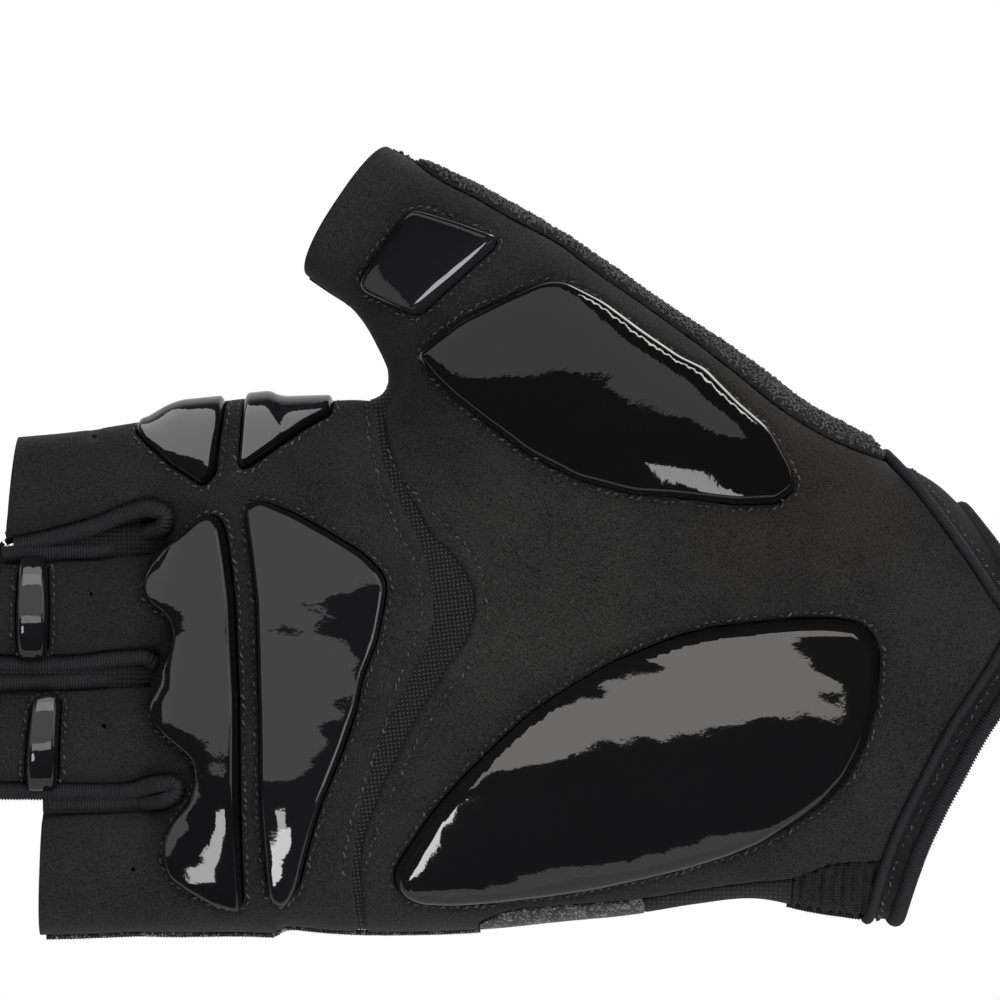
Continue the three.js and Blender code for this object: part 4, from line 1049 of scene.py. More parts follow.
def back_cloth(p):
    x, y, z = p.T
    back = np.minimum.reduce([y - SIDE_LINE - HALF_GAP, -thumb_cloth(p) - 2 * HALF_GAP,
                              off_slots(p, SLOT_MARGIN)])
    edging = np.minimum.reduce([-over_line(x, z, ULNAR_SEAM) - HALF_GAP, x - EDGING_FROM, GUSSET_FROM - x])
    whole = np.maximum(back, np.where(z < 0, edging, NEVER))
    gusset = np.minimum.reduce([-over_line(x, z, ULNAR_SEAM), x - GUSSET_FROM, GUSSET_DEPTH - y])
    return np.minimum(whole, -np.where(z < 0, gusset, NEVER) - HALF_GAP)


points, faces = cut_panel(back_cloth, hand_side)
panel("back_knit", points, faces, -edge_roll(back_cloth(points), *BACK_ROLL), BACK_KNIT, 1.5, "back_panel",
      "knit")

# %% [markdown]
# ## The little-finger side
#
# Three small pieces lie along the little-finger side of the heel: a wedge of reflective cloth, a strip
# that belongs to the back, and a gathered gusset whose folds run across it and fade round the side.


# %% Reflective wedge
PATCH_LIFT, SIDE_WALL = 0.1, 1.2


def patch_room(p):
    x, y, z = p.T
    return np.minimum.reduce([under_ulnar(x, z) - HALF_GAP, x - PATCH_FROM, EDGING_FROM - x - HALF_GAP,
                              SIDE_LINE - y])


panel("reflective_wedge", *cut_panel(patch_room), PATCH_LIFT, SILVER, SIDE_WALL, "reflective_patch",
      "silver")


# %% Gathered gusset
GATHER_PITCH, GATHER_DEPTH, GATHER_SINK = 1.7, 0.7, 0.3
# How far and how fast a fold sways, then where the folds fade out and over what depth
FOLD_SWAY, FOLD_RATE, FADE_FROM, FADE_OVER = 0.6, 0.7, 3.0, 5


def gusset_room(p):
    x, y, z = p.T
    return np.minimum.reduce([under_ulnar(x, z) - HALF_GAP, x - GUSSET_FROM - HALF_GAP, GUSSET_DEPTH - y])


points, faces = cut_panel(gusset_room, hand_side)
x, y, z = points.T
folds = np.sin(x / GATHER_PITCH * 2 * math.pi + FOLD_SWAY * np.sin(z * FOLD_RATE))
folds *= np.clip((FADE_FROM - y) / FADE_OVER, 0, 1)
panel("gathered_gusset", points, faces, folds * GATHER_DEPTH - GATHER_SINK, GATHERED, SIDE_WALL,
      "wrist_gusset", "gathered_knit")

# %% [markdown]
# ## Side walls in the slots
#
# Between two stalls a strip of knit joins front and back. Two pieces make it: a lining, which is the
# part of the skin under the binding, and a flat wall in the gap itself, so that no gap can be seen
# through. The wall is a stack of rings from the mouth to the web, closed at both ends.

# %% Linings and walls
WALL_DEPTH, WALL_OVERLAP, WALL_SIDES, WALL_STOPS = 6.2, 2.2, 20, 40
# How far a wall stays inside the mouth and runs into the palm, and the size of the rings that close it
WALL_INSET, WALL_RUN_IN, WALL_CLOSE = 0.4, 3, 0.02
LINING_UNDER, LINING_SINK = 0.6, 0.3


def wall_between(k):
    """A flat closed wall of knit in the gap between two stalls, from the web to the shorter mouth."""
    (_, root_a, mouth_a, breadth_a, _), (_, root_b, mouth_b, breadth_b, _) = STALLS[k:k + 2]
    turn = np.arange(WALL_SIDES) / WALL_SIDES * 2 * math.pi
    squared = np.sign(np.cos(turn)) * np.abs(np.cos(turn)) ** 0.5
    rings = []
    for x in np.linspace(max(mouth_a[0], mouth_b[0]) + WALL_INSET, WEB_X + WALL_RUN_IN, WALL_STOPS):
        share_a = (x - mouth_a[0]) / (root_a[0] - mouth_a[0])
        share_b = (x - mouth_b[0]) / (root_b[0] - mouth_b[0])
        a = mouth_a[1] + share_a * (root_a[1] - mouth_a[1]) - breadth_a / 2
        b = mouth_b[1] + share_b * (root_b[1] - mouth_b[1]) + breadth_b / 2
        rings.append(np.stack([np.full(WALL_SIDES, x), STALL_SET_BACK + WALL_DEPTH * np.sin(turn),
                               (a + b) / 2 + ((a - b) / 2 + WALL_OVERLAP) * squared], -1))
    first, last = (ring.mean(axis=0) + (ring - ring.mean(axis=0)) * WALL_CLOSE
                   for ring in (rings[0], rings[-1]))
    rings = [first, *rings, last]
    count, faces = len(rings), []
    for i in range(count - 1):
        for j in range(WALL_SIDES):
            n = (j + 1) % WALL_SIDES
            a, b, c, d = (i * WALL_SIDES + j, i * WALL_SIDES + n, (i + 1) * WALL_SIDES + n,
                          (i + 1) * WALL_SIDES + j)
            faces += [(a, b, c), (a, c, d)]
    return np.concatenate(rings), np.array(faces)[:, ::-1]


for k, (name, loop) in enumerate(SLOT_LOOPS.items()):
    def slot_room(p, loop=loop):
        away = np.full(len(p), NEVER)
        near = p[:, 0] < SLOT_END_X
        away[near] = LINING_UNDER - loop_distance(p[near, 0], p[near, 2], loop)
        return away

    panel(f"slot_lining_{name}", *cut_panel(slot_room), -LINING_SINK, BACK_KNIT, 1.0, f"fourchette_{name}",
          "knit")
    wall = build(f"slot_wall_{name}", *wall_between(k), BACK_KNIT)
    place(wall, finish_slot="knit")


# %% Elastic band round the wrist
BAND_WIDTH = 5.6


def band_room(p):
    past = past_line(p[:, 0], p[:, 2], CUFF_SEAM)
    return np.minimum(past - PIPE_ROOM + CORD_COVER, BAND_WIDTH - past)


panel("cuff_strip", *cut_panel(band_room), 0.0, CUFF_STRIP, 1.8, "cuff_band", "ribbed")

# %% [markdown]
# ## Gel pads
#
# Each pad is a moulded cushion of clear-coated gel: a steep rounded edge, then a low crown. Its mesh is
# a triangulation of its outline with rings close to the edge, where the shape turns fastest. Each point
# is then lifted off the palm along the surface's own normal, so a pad follows the hand under it.

# %% Pad meshes
PAD_STEP = 0.85
PAD_SINK, CROWN_SHARE, CROWN_REACH = 0.9, 0.35, 9.0
EDGE_RADIUS = {"hypothenar_pad": 1.9, "thenar_pad": 1.7, "thumb_pad": 1.5}
SMALL_EDGE_RADIUS, PAD_FILL = 0.85, 0.9
# Rings of points inside an outline, and how far in the even grid starts
PAD_RINGS, GRID_FROM = (0.12, 0.35, 0.7, 1.15, 1.7), 2.1
# Height and length of the faint lumps on a pad, and how far in they start
LUMP, LUMP_LENGTH, LUMP_FROM, NORMAL_REACH = 0.03, 6.0, 2, 1.2


def soft_distance(x, z, loop):
    """Distance in from an outline, without a ridge where two sides are equally far."""
    step = np.linalg.norm(np.roll(loop, -1, axis=0) - loop, axis=1)
    total = np.zeros(len(x))
    for (bx, bz), length in zip(loop, step):
        total += length / ((x - bx) ** 2 + (z - bz) ** 2 + 0.15) ** 1.5
    return np.sqrt(2 / total)


def pad_profile(away, soft, height, edge_radius):
    """How high a pad stands: a rounded edge, then a smooth crown."""
    edge = np.sqrt(1 - (1 - np.clip(away / edge_radius, 0, 1)) ** 2)
    crown = 1 - (1 - np.clip(soft / soft.max(), 0, 1)) ** 2
    crowned = height * CROWN_SHARE * min(1, soft.max() / CROWN_REACH)
    return -PAD_SINK + (PAD_SINK + height - crowned) * edge + crowned * crown


def pad_grid(loop):
    """Points over an outline: the outline, rings inside it, and a staggered grid."""
    ahead, behind = np.roll(loop, -1, axis=0), np.roll(loop, 1, axis=0)
    way = ahead - behind
    inward = np.stack([-way[:, 1], way[:, 0]], -1) / np.linalg.norm(way, axis=1, keepdims=True)
    if not inside_loop(*(loop[0] + inward[0] * 0.1)[:, None], loop)[0]:
        inward = -inward
    rings = [loop]
    for offset in PAD_RINGS:
        ring = loop + inward * offset
        rings.append(ring[-loop_distance(*ring.T, loop) > offset * 0.93])
    low, high = loop.min(axis=0), loop.max(axis=0)
    xs, zs = np.arange(low[0], high[0], PAD_STEP), np.arange(low[1], high[1], PAD_STEP * 0.87)
    grid = np.array([(x + (j % 2) * PAD_STEP / 2, z) for x in xs for j, z in enumerate(zs)])
    rings.append(grid[-loop_distance(*grid.T, loop) > GRID_FROM])
    return np.concatenate(rings)


def pad_mesh(name, loop, height, spot, edge_radius):
    made = delaunay_2d_cdt([Vector(p) for p in pad_grid(loop)], [], [list(range(len(loop)))], 1, 1e-4)
    flat = np.array([tuple(v) for v in made[0]])
    faces = np.array(made[2])
    base = spot(*flat.T)
    normals = outward(base, NORMAL_REACH)
    away = np.maximum(-loop_distance(*flat.T, loop), 0)
    lumps = LUMP * wobble(*base.T, LUMP_LENGTH) * np.clip(away / LUMP_FROM, 0, 1)
    profile = pad_profile(away, soft_distance(*flat.T, loop), height, edge_radius)
    points = raised(base, normals, profile + lumps)
    a, b, c = (points[faces[:, k]] for k in range(3))
    if np.sum(np.cross(b - a, c - a) * normals[faces[:, 0]]) < 0:
        faces = faces[:, ::-1]
    return build(name, points, faces, GEL)


for name, loop in ALL_LOOPS.items():
    on_side = name in SIDE_LOOPS
    height = (SIDE_PADS if on_side else PADS)[name][0]
    pad = pad_mesh("gel_" + name, loop, height, side_spot if on_side else front_spot,
                   EDGE_RADIUS.get(name, SMALL_EDGE_RADIUS))
    place(pad, name, finish_slot="gel")

# %% [markdown]
# ## Ribbed bindings, a Geometry Nodes tree
#
# The slots are bound with stretch tape, and the cuff is edged with a cord and a ribbed elastic. They are
# all the same thing: a soft roll along a path, with fine ribs across it. One tree makes them. It samples
# the path several times a rib, sweeps a circle along it, and pushes each ring in or out.


# %% The end of every tree
def end_tree(tree, geometry, material, result):
    """Instances are made real, because the export drops them, then smoothed and given their finish."""
    real = node(tree, "GeometryNodeRealizeInstances", {"Geometry": geometry})
    smooth = node(tree, "GeometryNodeSetShadeSmooth", {"Geometry": real})
    done = node(tree, "GeometryNodeSetMaterial", {"Geometry": smooth, "Material": material})
    tree.links.new(done.outputs[0], result.inputs[0])


# %% Ribbed roll tree
def roll_tree():
    tree, given, result = new_group("ribbed_roll", "GeometryNodeTree", [
        ("Path", "NodeSocketGeometry", None), ("Radius", "NodeSocketFloat", 1.0),
        ("Rib pitch", "NodeSocketFloat", 0.5), ("Rib depth", "NodeSocketFloat", 0.1),
        ("Samples a rib", "NodeSocketFloat", 6.0), ("Sides", "NodeSocketInt", 12),
        ("Unevenness", "NodeSocketFloat", 0.1), ("Finish", "NodeSocketMaterial", None)],
        [("Geometry", "NodeSocketGeometry")])
    path, radius, pitch, depth, samples, sides, uneven, material = (
        given.outputs[k] for k in range(8))
    curve = node(tree, "GeometryNodeMeshToCurve", {"Mesh": path})
    length = maths(tree, "DIVIDE", pitch, samples)
    even = node(tree, "GeometryNodeResampleCurve", {"Curve": curve, "Length": length}, mode="LENGTH")
    run = node(tree, "GeometryNodeSplineParameter").outputs["Length"]
    kept = tree.nodes.new("GeometryNodeCaptureAttribute")
    kept.capture_items.new("FLOAT", "Run")
    tree.links.new(even.outputs[0], kept.inputs["Geometry"])
    tree.links.new(run, kept.inputs["Run"])
    circle = node(tree, "GeometryNodeCurvePrimitiveCircle", {"Resolution": sides, "Radius": radius})
    swept = node(tree, "GeometryNodeCurveToMesh", {"Curve": kept.outputs["Geometry"],
                                                   "Profile Curve": circle.outputs["Curve"],
                                                   "Fill Caps": True})
    turn = maths(tree, "MULTIPLY", maths(tree, "DIVIDE", kept.outputs["Run"], pitch), 2 * math.pi)
    wave = maths(tree, "MULTIPLY", maths(tree, "SINE", turn), depth)
    noise = node(tree, "ShaderNodeTexNoise", {"Vector": node(tree, "GeometryNodeInputPosition"),
                                              "Scale": 0.4 / MM, "Detail": 1.0})
    swell = maths(tree, "MULTIPLY", maths(tree, "SUBTRACT", noise.outputs[0], 0.5), uneven)
    total = maths(tree, "ADD", wave, swell)
    push = node(tree, "ShaderNodeVectorMath", {0: node(tree, "GeometryNodeInputNormal"), "Scale": total},
                operation="SCALE")
    moved = node(tree, "GeometryNodeSetPosition", {"Geometry": swept, "Offset": push})
    end_tree(tree, moved, material, result)
    return tree


ROLL = roll_tree()


# %% Running a tree
def path_object(name, points, normals=None, closed=False):
    """A line of points as a mesh of edges, with the outward direction stored on each point."""
    mesh = bpy.data.meshes.new(name)
    count = len(points)
    edges = [(i, i + 1) for i in range(count - 1)] + ([(count - 1, 0)] if closed else [])
    mesh.from_pydata([tuple(p * MM) for p in np.asarray(points)], edges, [])
    if normals is not None:
        stored = mesh.attributes.new("out", "FLOAT_VECTOR", "POINT")
        stored.data.foreach_set("vector", np.asarray(normals, np.float32).ravel())
    piece = bpy.data.objects.new(name, mesh)
    bpy.context.scene.collection.objects.link(piece)
    return piece


def run_tree(piece, tree, **values):
    """Run a tree on an object, and keep what it makes as a plain mesh."""
    modifier = piece.modifiers.new("maker", "NODES")
    modifier.node_group = tree
    for item in tree.interface.items_tree:
        key = item.name.replace(" ", "_")
        if item.in_out == "INPUT" and key in values:
            modifier[item.identifier] = values[key]
    bpy.context.view_layer.update()
    made = bpy.data.meshes.new_from_object(piece.evaluated_get(bpy.context.evaluated_depsgraph_get()))
    piece.modifiers.clear()
    piece.data = made
    return piece


ROLL_UNEVEN = 0.12


def rolled(name, points, radius, pitch, depth, material=None, closed=False, sides=12):
    """A ribbed roll along a path, with its radius, rib pitch and rib depth in millimetres."""
    piece = path_object(name, points, closed=closed)
    run_tree(piece, ROLL, Radius=radius * MM, Rib_pitch=pitch * MM, Rib_depth=depth * MM,
             Unevenness=ROLL_UNEVEN * MM, Finish=material or RIBBED, Sides=sides)
    print(name, len(piece.data.polygons), "faces")
    return piece


# %% [markdown]
# ### Bindings in the slots
#
# Each binding comes in from one stall, turns round in the web and goes out along the next.

# %% Slot bindings
BINDINGS = {
    "index_middle": [(-143.8, 23.0), (-136.8, 24.4), (-130.0, 26.3), (-124.4, 28.5), (-121.0, 29.0),
                     (-118.8, 28.0), (-119.0, 26.4), (-122.0, 25.1), (-127.0, 22.9), (-136.8, 21.9),
                     (-146.0, 21.6)],
    "middle_ring": [(-148.0, 3.2), (-133.7, 3.3), (-125.0, 4.2), (-121.6, 4.0), (-121.0, 3.2),
                    (-122.2, 2.3), (-127.5, 1.1), (-136.8, 0.4), (-148.0, 0.2)],
    "ring_little": [(-147.0, -17.8), (-133.0, -17.8), (-124.6, -17.7), (-119.0, -16.4), (-116.8, -16.6),
                    (-116.8, -17.6), (-118.4, -18.7), (-124.4, -19.6), (-133.7, -20.0), (-138.0, -20.2)],
}
BINDING_RADIUS, BINDING_STAND, BINDING_PITCH, BINDING_RIB = 1.35, 0.1, 0.48, 0.12


def seat(line, reach, stand):
    """A path that rests on the highest cloth near it."""
    offsets = [(dx, dz) for dx in (-reach, 0, reach) for dz in (-reach, 0, reach)]
    depth = np.min([front_spot(line[:, 0] + dx, line[:, 1] + dz)[:, 1] for dx, dz in offsets], axis=0)
    depth = np.convolve(np.pad(depth, 4, mode="edge"), np.ones(9) / 9, "valid")
    return np.stack([line[:, 0], depth - stand, line[:, 1]], -1)


for name, points in BINDINGS.items():
    path = seat(smooth_line(points, 0.5), BINDING_RADIUS, BINDING_STAND)
    binding = rolled(f"binding_{name}", path, BINDING_RADIUS, BINDING_PITCH, BINDING_RIB)
    place(binding, f"slot_roll_{name}", finish_slot="ribbed")


# %% [markdown]
# ### Round the cuff
#
# The cord and the ribbed edge run right round the wrist. Their path is found on the hand itself: at each
# angle round the wrist, the point of the surface that lies on the cuff line, shifted by its distance.
# The silver piping and the rolled hem of the gusset follow the lowest line of the hand instead.

# %% Paths round the wrist
WRIST_STOPS, WRIST_MIDDLE = 220, -2.0
# Rounds in which the path settles onto the cuff line, and the share of the way that each round goes
WRIST_ROUNDS, WRIST_SHARE = 60, 0.35


def wrist_path(beyond, lift=0.0):
    """A closed path at a distance past the cuff seam, lifted off the surface."""
    angles = np.linspace(0, 2 * math.pi, WRIST_STOPS, endpoint=False)
    order = np.argsort(CUFF_SEAM[:, 1])
    up, at = CUFF_SEAM[order, 1], CUFF_SEAM[order, 0]
    x = np.zeros(WRIST_STOPS)
    for _ in range(WRIST_ROUNDS):
        middle = np.stack([x, np.zeros_like(x), np.full_like(x, WRIST_MIDDLE)], -1)
        way = np.stack([np.zeros_like(x), -np.sin(angles), np.cos(angles)], -1)
        reach = np.full(WRIST_STOPS, 20.0)
        for _ in range(12):
            reach = reach - hand(middle + way * reach[:, None]) * 0.9
        z = WRIST_MIDDLE + way[:, 2] * reach
        slope = (np.interp(z + 0.5, up, at) - np.interp(z - 0.5, up, at))
        target = np.interp(z, up, at) + beyond * np.sqrt(1 + slope**2)
        x = x + (target - x) * WRIST_SHARE
    points = middle + way * reach[:, None]
    return raised(points, outward(points), lift)


CORD_LIFT, EDGE_BEYOND, EDGE_LIFT = 0.2, 4.6, -0.25
cord = rolled("cuff_cord", wrist_path(0.0, CORD_LIFT), 0.85, 0.44, 0.09, closed=True, sides=10)
place(cord, "cuff_piping", finish_slot="ribbed")
edge = rolled("cuff_ribbed_edge", wrist_path(EDGE_BEYOND, EDGE_LIFT), 1.35, 0.52, 0.15, closed=True)
place(edge, finish_slot="ribbed")


# %% Silver piping on the little-finger side, and the rolled hem of the gusset
def ulnar_path(start, end, depth, lift):
    """A path along the lowest line of the hand, at a depth and lifted off the surface."""
    x = np.linspace(start, end, 120)
    z = np.full(len(x), -36.0)
    for _ in range(40):
        z = z + hand(np.stack([x, np.full(len(x), depth), z], -1))
    points = np.stack([x, np.full(len(x), depth), z], -1)
    return raised(points, outward(points), lift)


PIPING_FROM, HEM_TO = -139.0, -3.4
piping = rolled("silver_piping", ulnar_path(PIPING_FROM, PATCH_FROM, 0.6, 0.3), 0.5, 0.5, 0.06, SILVER,
                sides=8)
place(piping, "ulnar_piping", finish_slot="silver")
hem = rolled("gusset_hem", ulnar_path(GUSSET_FROM - 0.5, HEM_TO, 1.5, -0.35), 1.0, 0.5, 0.05, GATHERED)
place(hem, finish_slot="gathered_knit")

# %% [markdown]
# ## Stitches, a Geometry Nodes tree
#
# A stitch is a short piece of thread that comes up through the cloth, bows and goes down again. Hundreds
# of them follow the pads, the insert and the cuff. The tree spaces points evenly along a path and lets
# each stray a little. Then it sets one bowed thread on each, in line with the path and upright on the
# cloth, and turns and sizes each at random, because a sewn row is never quite even.


# %% A bent thread
def bent_thread(tree, start, middle, end, stops, sides, thick, closed):
    """A short bowed thread with few faces, because it is repeated hundreds of times."""
    line = node(tree, "GeometryNodeCurveQuadraticBezier", {"Resolution": stops, "Start": start,
                                                           "Middle": middle, "End": end})
    ring = node(tree, "GeometryNodeCurvePrimitiveCircle", {
        "Resolution": sides, "Radius": maths(tree, "MULTIPLY", thick, 0.5)})
    return node(tree, "GeometryNodeCurveToMesh", {"Curve": line, "Profile Curve": ring.outputs["Curve"],
                                                  "Fill Caps": closed})


# %% Stitch tree
def stitch_tree():
    tree, given, result = new_group("stitches", "GeometryNodeTree", [
        ("Path", "NodeSocketGeometry", None), ("Spacing", "NodeSocketFloat", 0.0018),
        ("Length", "NodeSocketFloat", 0.001), ("Thickness", "NodeSocketFloat", 0.0003),
        ("Bow", "NodeSocketFloat", 0.0002), ("Seed", "NodeSocketInt", 3),
        ("Finish", "NodeSocketMaterial", None)],
        [("Geometry", "NodeSocketGeometry")])
    path, spacing, length, thick, bow, seed, material = (given.outputs[k] for k in range(7))
    curve = node(tree, "GeometryNodeMeshToCurve", {"Mesh": path})
    even = node(tree, "GeometryNodeResampleCurve", {"Curve": curve, "Length": spacing}, mode="LENGTH")
    stray = node(tree, "FunctionNodeRandomValue", {0: (-1, -1, -1), 1: (1, 1, 1), "Seed": seed},
                 data_type="FLOAT_VECTOR")
    strayed = node(tree, "ShaderNodeVectorMath", {0: stray, "Scale": maths(tree, "MULTIPLY", length, 0.28)},
                   operation="SCALE")
    even = node(tree, "GeometryNodeSetPosition", {"Geometry": even, "Offset": strayed})
    half = maths(tree, "MULTIPLY", length, 0.5)
    back = maths(tree, "MULTIPLY", length, -0.5)
    low = maths(tree, "MULTIPLY", bow, -1.0)
    start = node(tree, "ShaderNodeCombineXYZ", {"X": back, "Z": low})
    top = node(tree, "ShaderNodeCombineXYZ", {"Z": maths(tree, "MULTIPLY", bow, 2.0)})
    end = node(tree, "ShaderNodeCombineXYZ", {"X": half, "Z": low})
    body = bent_thread(tree, start, top, end, 5, 5, thick, True)
    out = node(tree, "GeometryNodeInputNamedAttribute", {"Name": "out"}, data_type="FLOAT_VECTOR")
    turn = node(tree, "FunctionNodeAxesToRotation", {
        "Primary Axis": out.outputs["Attribute"], "Secondary Axis": node(tree, "GeometryNodeInputTangent")},
        primary_axis="Z", secondary_axis="X")
    size, yaw = (node(tree, "FunctionNodeRandomValue", {"Min": low, "Max": high, "Seed": seed},
                      data_type="FLOAT") for low, high in ((0.5, 1.4), (-0.7, 0.7)))
    set_on = node(tree, "GeometryNodeInstanceOnPoints", {"Points": even, "Instance": body, "Rotation": turn,
                                                         "Scale": size})
    swung = node(tree, "GeometryNodeRotateInstances", {
        "Instances": set_on, "Rotation": node(tree, "ShaderNodeCombineXYZ", {"Z": yaw}),
        "Local Space": True})
    end_tree(tree, swung, material, result)
    return tree


STITCH = stitch_tree()


# %% Rows of stitches
STITCH_LENGTH, THREAD_THICK, STITCH_BOW, STITCH_SINK = 0.66, 0.34, 0.2, 0.2


def stitched(name, spots, spacing, seed, sink=STITCH_SINK, closed=False):
    """A row of stitches sunk a little below a line on the surface."""
    normals = outward(spots)
    piece = path_object(name, raised(spots, normals, -sink), normals, closed)
    run_tree(piece, STITCH, Spacing=spacing * MM, Length=STITCH_LENGTH * MM, Thickness=THREAD_THICK * MM,
             Bow=STITCH_BOW * MM, Seed=seed, Finish=THREAD)
    place(piece)
    print(name, len(piece.data.polygons), "faces")


def offset_loop(loop, distance):
    """A closed line moved outwards."""
    way = np.roll(loop, -1, axis=0) - np.roll(loop, 1, axis=0)
    side = np.stack([way[:, 1], -way[:, 0]], -1) / np.linalg.norm(way, axis=1, keepdims=True)
    if inside_loop(*(loop[0] + side[0] * 0.1)[:, None], loop)[0]:
        side = -side
    moved = loop + side * distance
    return moved[loop_distance(*moved.T, loop) > distance * 0.9]


PAD_SPACING, INSERT_SPACING, CUFF_SPACING, CUFF_ROW = 1.4, 1.45, 1.6, 1.7
for seed, (name, loop) in enumerate(ALL_LOOPS.items()):
    spot = side_spot if name in SIDE_LOOPS else front_spot
    stitched(f"stitches_{name}", spot(*offset_loop(loop, STITCH_AWAY).T), PAD_SPACING, seed, closed=True)
for seed, (name, row) in enumerate(INSERT_ROWS.items()):
    stitched(f"stitches_insert_{name}", front_spot(*row.T), INSERT_SPACING, 20 + seed)
stitched("stitches_cuff", wrist_path(CUFF_ROW), CUFF_SPACING, 30, sink=0.0, closed=True)

# %% [markdown]
# ## Towelling, a Geometry Nodes tree
#
# Towelling is a knit with rows of loops that stand up from it. Thousands of small bent threads are
# scattered evenly over the cloth, each upright on it and turned at random.


# %% Loop tree
def loop_tree():
    tree, given, result = new_group("towelling_loops", "GeometryNodeTree", [
        ("Cloth", "NodeSocketGeometry", None), ("Spacing", "NodeSocketFloat", 0.001),
        ("Loop size", "NodeSocketFloat", 0.0008), ("Thickness", "NodeSocketFloat", 0.0003),
        ("Seed", "NodeSocketInt", 5), ("Finish", "NodeSocketMaterial", None)],
        [("Geometry", "NodeSocketGeometry")])
    base, spacing, size, thick, seed, material = (given.outputs[k] for k in range(6))
    points = node(tree, "GeometryNodeDistributePointsOnFaces", {
        "Mesh": base, "Distance Min": spacing, "Density Max": 4e6, "Seed": seed},
        distribute_method="POISSON")
    start, end, top = (node(tree, "ShaderNodeCombineXYZ", {way: maths(tree, "MULTIPLY", size, share)})
                       for way, share in (("X", -0.5), ("X", 0.5), ("Z", 0.8)))
    body = bent_thread(tree, start, top, end, 4, 3, thick, False)
    up = node(tree, "FunctionNodeAlignRotationToVector", {"Vector": points.outputs["Normal"]}, axis="Z")
    lean = node(tree, "FunctionNodeRandomValue", {0: (-0.5, -0.5, -3.2), 1: (0.5, 0.5, 3.2), "Seed": seed},
                data_type="FLOAT_VECTOR")
    scale = node(tree, "FunctionNodeRandomValue", {"Min": 0.75, "Max": 1.25, "Seed": seed},
                 data_type="FLOAT")
    set_on = node(tree, "GeometryNodeInstanceOnPoints", {"Points": points.outputs["Points"],
                                                         "Instance": body, "Rotation": up, "Scale": scale})
    turned = node(tree, "GeometryNodeRotateInstances", {"Instances": set_on, "Rotation": lean,
                                                        "Local Space": True})
    end_tree(tree, turned, material, result)
    return tree


LOOPS = loop_tree()


# %% Loops over the thumb
# How far loops keep from the panel's edge, the mouth and the lower half of the hand
LOOP_EDGE, LOOP_MOUTH, LOOP_LOWEST = 0.15, 1.0, 30
# In front of this depth they stand only where the cloth doesn't face downwards by more than this
LOOP_FRONT, LOOP_FACING = 4, 0.1
LOOP_SPACING, LOOP_SIZE, LOOP_THICK = 0.64, 0.62, 0.46


def loops_room(p):
    """Loops stand on the upper side of the thumb and on its back, away from the mouth."""
    upper = np.where(p[:, 1] < LOOP_FRONT, outward(p)[:, 2] + LOOP_FACING, ALWAYS)
    return np.minimum.reduce([thumb_cloth(p) - LOOP_EDGE, p[:, 2] - LOOP_LOWEST, mouth_room(p) - LOOP_MOUTH,
                              upper])


points, faces = cut_panel(loops_room, points=terry_points, faces=terry_faces)
loops = build("towelling_loops", raised(points, outward(points), terry_height(points)), faces, TERRY)
run_tree(loops, LOOPS, Spacing=LOOP_SPACING * MM, Loop_size=LOOP_SIZE * MM, Thickness=LOOP_THICK * MM,
         Seed=5, Finish=TERRY)
place(loops)
print("towelling:", len(loops.data.polygons), "faces")

# %% [markdown]
# ## Light, floor and camera
#
# The glove is held up against a bright studio background. Soft boxes round the room light the cloth and
# the floor. Glossy gel shows nothing of its own but what it mirrors, so, as in a product photograph, each
# group of pads gets reflector cards of its own: pale rectangles placed where a pad mirrors them, which
# draw its grey bands and its highlights. Light linking keeps a card's light to its own pads, and the room
# is dark on the camera's side, so that the rest of each pad stays black.

# %% World
FRAME_MIDDLE_X, FRAME_MIDDLE_Z, FRAME_SPAN = -63.5, 30.5, 165.0
CAMERA_AWAY, PALM_PLANE, SENSOR = 1010.0, -8.0, 36.0
BACKDROP_LIGHT, ROOM_LIGHT = 0.9, 0.04
world = bpy.data.worlds.new("studio")
bpy.context.scene.world = world
world.use_nodes = True
air = world.node_tree
air.nodes.clear()
facing = node(air, "ShaderNodeSeparateXYZ", {0: node(air, "ShaderNodeTexCoord").outputs["Generated"]})
behind = node(air, "ShaderNodeMapRange", {"Value": facing.outputs["Y"], "From Min": 0.35, "From Max": 0.6,
                                          "To Min": ROOM_LIGHT, "To Max": BACKDROP_LIGHT})
seen = node(air, "ShaderNodeLightPath").outputs["Is Camera Ray"]
strength = node(air, "ShaderNodeMix", {"Factor": seen, "A": behind.outputs[0], "B": 1.0}, data_type="FLOAT")
lit = node(air, "ShaderNodeBackground", {"Color": (1, 1, 1, 1), "Strength": strength.outputs[0]})
node(air, "ShaderNodeOutputWorld", {"Surface": lit})


# %% Soft boxes
LAMP_TARGET = Vector((FRAME_MIDDLE_X, -10, 15)) * MM
WHITE, WARM = (1, 1, 1), (1.0, 0.97, 0.93)
PAD_PIECES = {thing for thing in bpy.data.objects if thing.name.startswith("gel_")}


def lit_group(name, things):
    """A collection that a lamp is linked to: only these pieces receive its light."""
    group = bpy.data.collections.new(name)
    for thing in things:
        group.objects.link(thing)
    return group


def soft_box(name, group, away, azimuth, elevation, width, height, glow, roll=0.0, tint=WHITE):
    """A soft box seen from the glove at these angles, with sizes in metres and an even glow."""
    lamp = bpy.data.lights.new(name, "AREA")
    lamp.shape, lamp.size, lamp.size_y = "RECTANGLE", width, height
    lamp.energy, lamp.color = glow * math.pi * width * height, tint
    box = bpy.data.objects.new(name, lamp)
    bpy.context.scene.collection.objects.link(box)
    a, e = math.radians(azimuth), math.radians(elevation)
    way = Vector((math.sin(a) * math.cos(e), -math.cos(a) * math.cos(e), math.sin(e)))
    box.location = LAMP_TARGET + way * away
    turn = way.to_track_quat("Z", "Y").to_matrix().to_4x4()
    box.rotation_euler = (turn @ Matrix.Rotation(math.radians(roll), 4, "Z")).to_euler()
    box.light_linking.receiver_collection = group


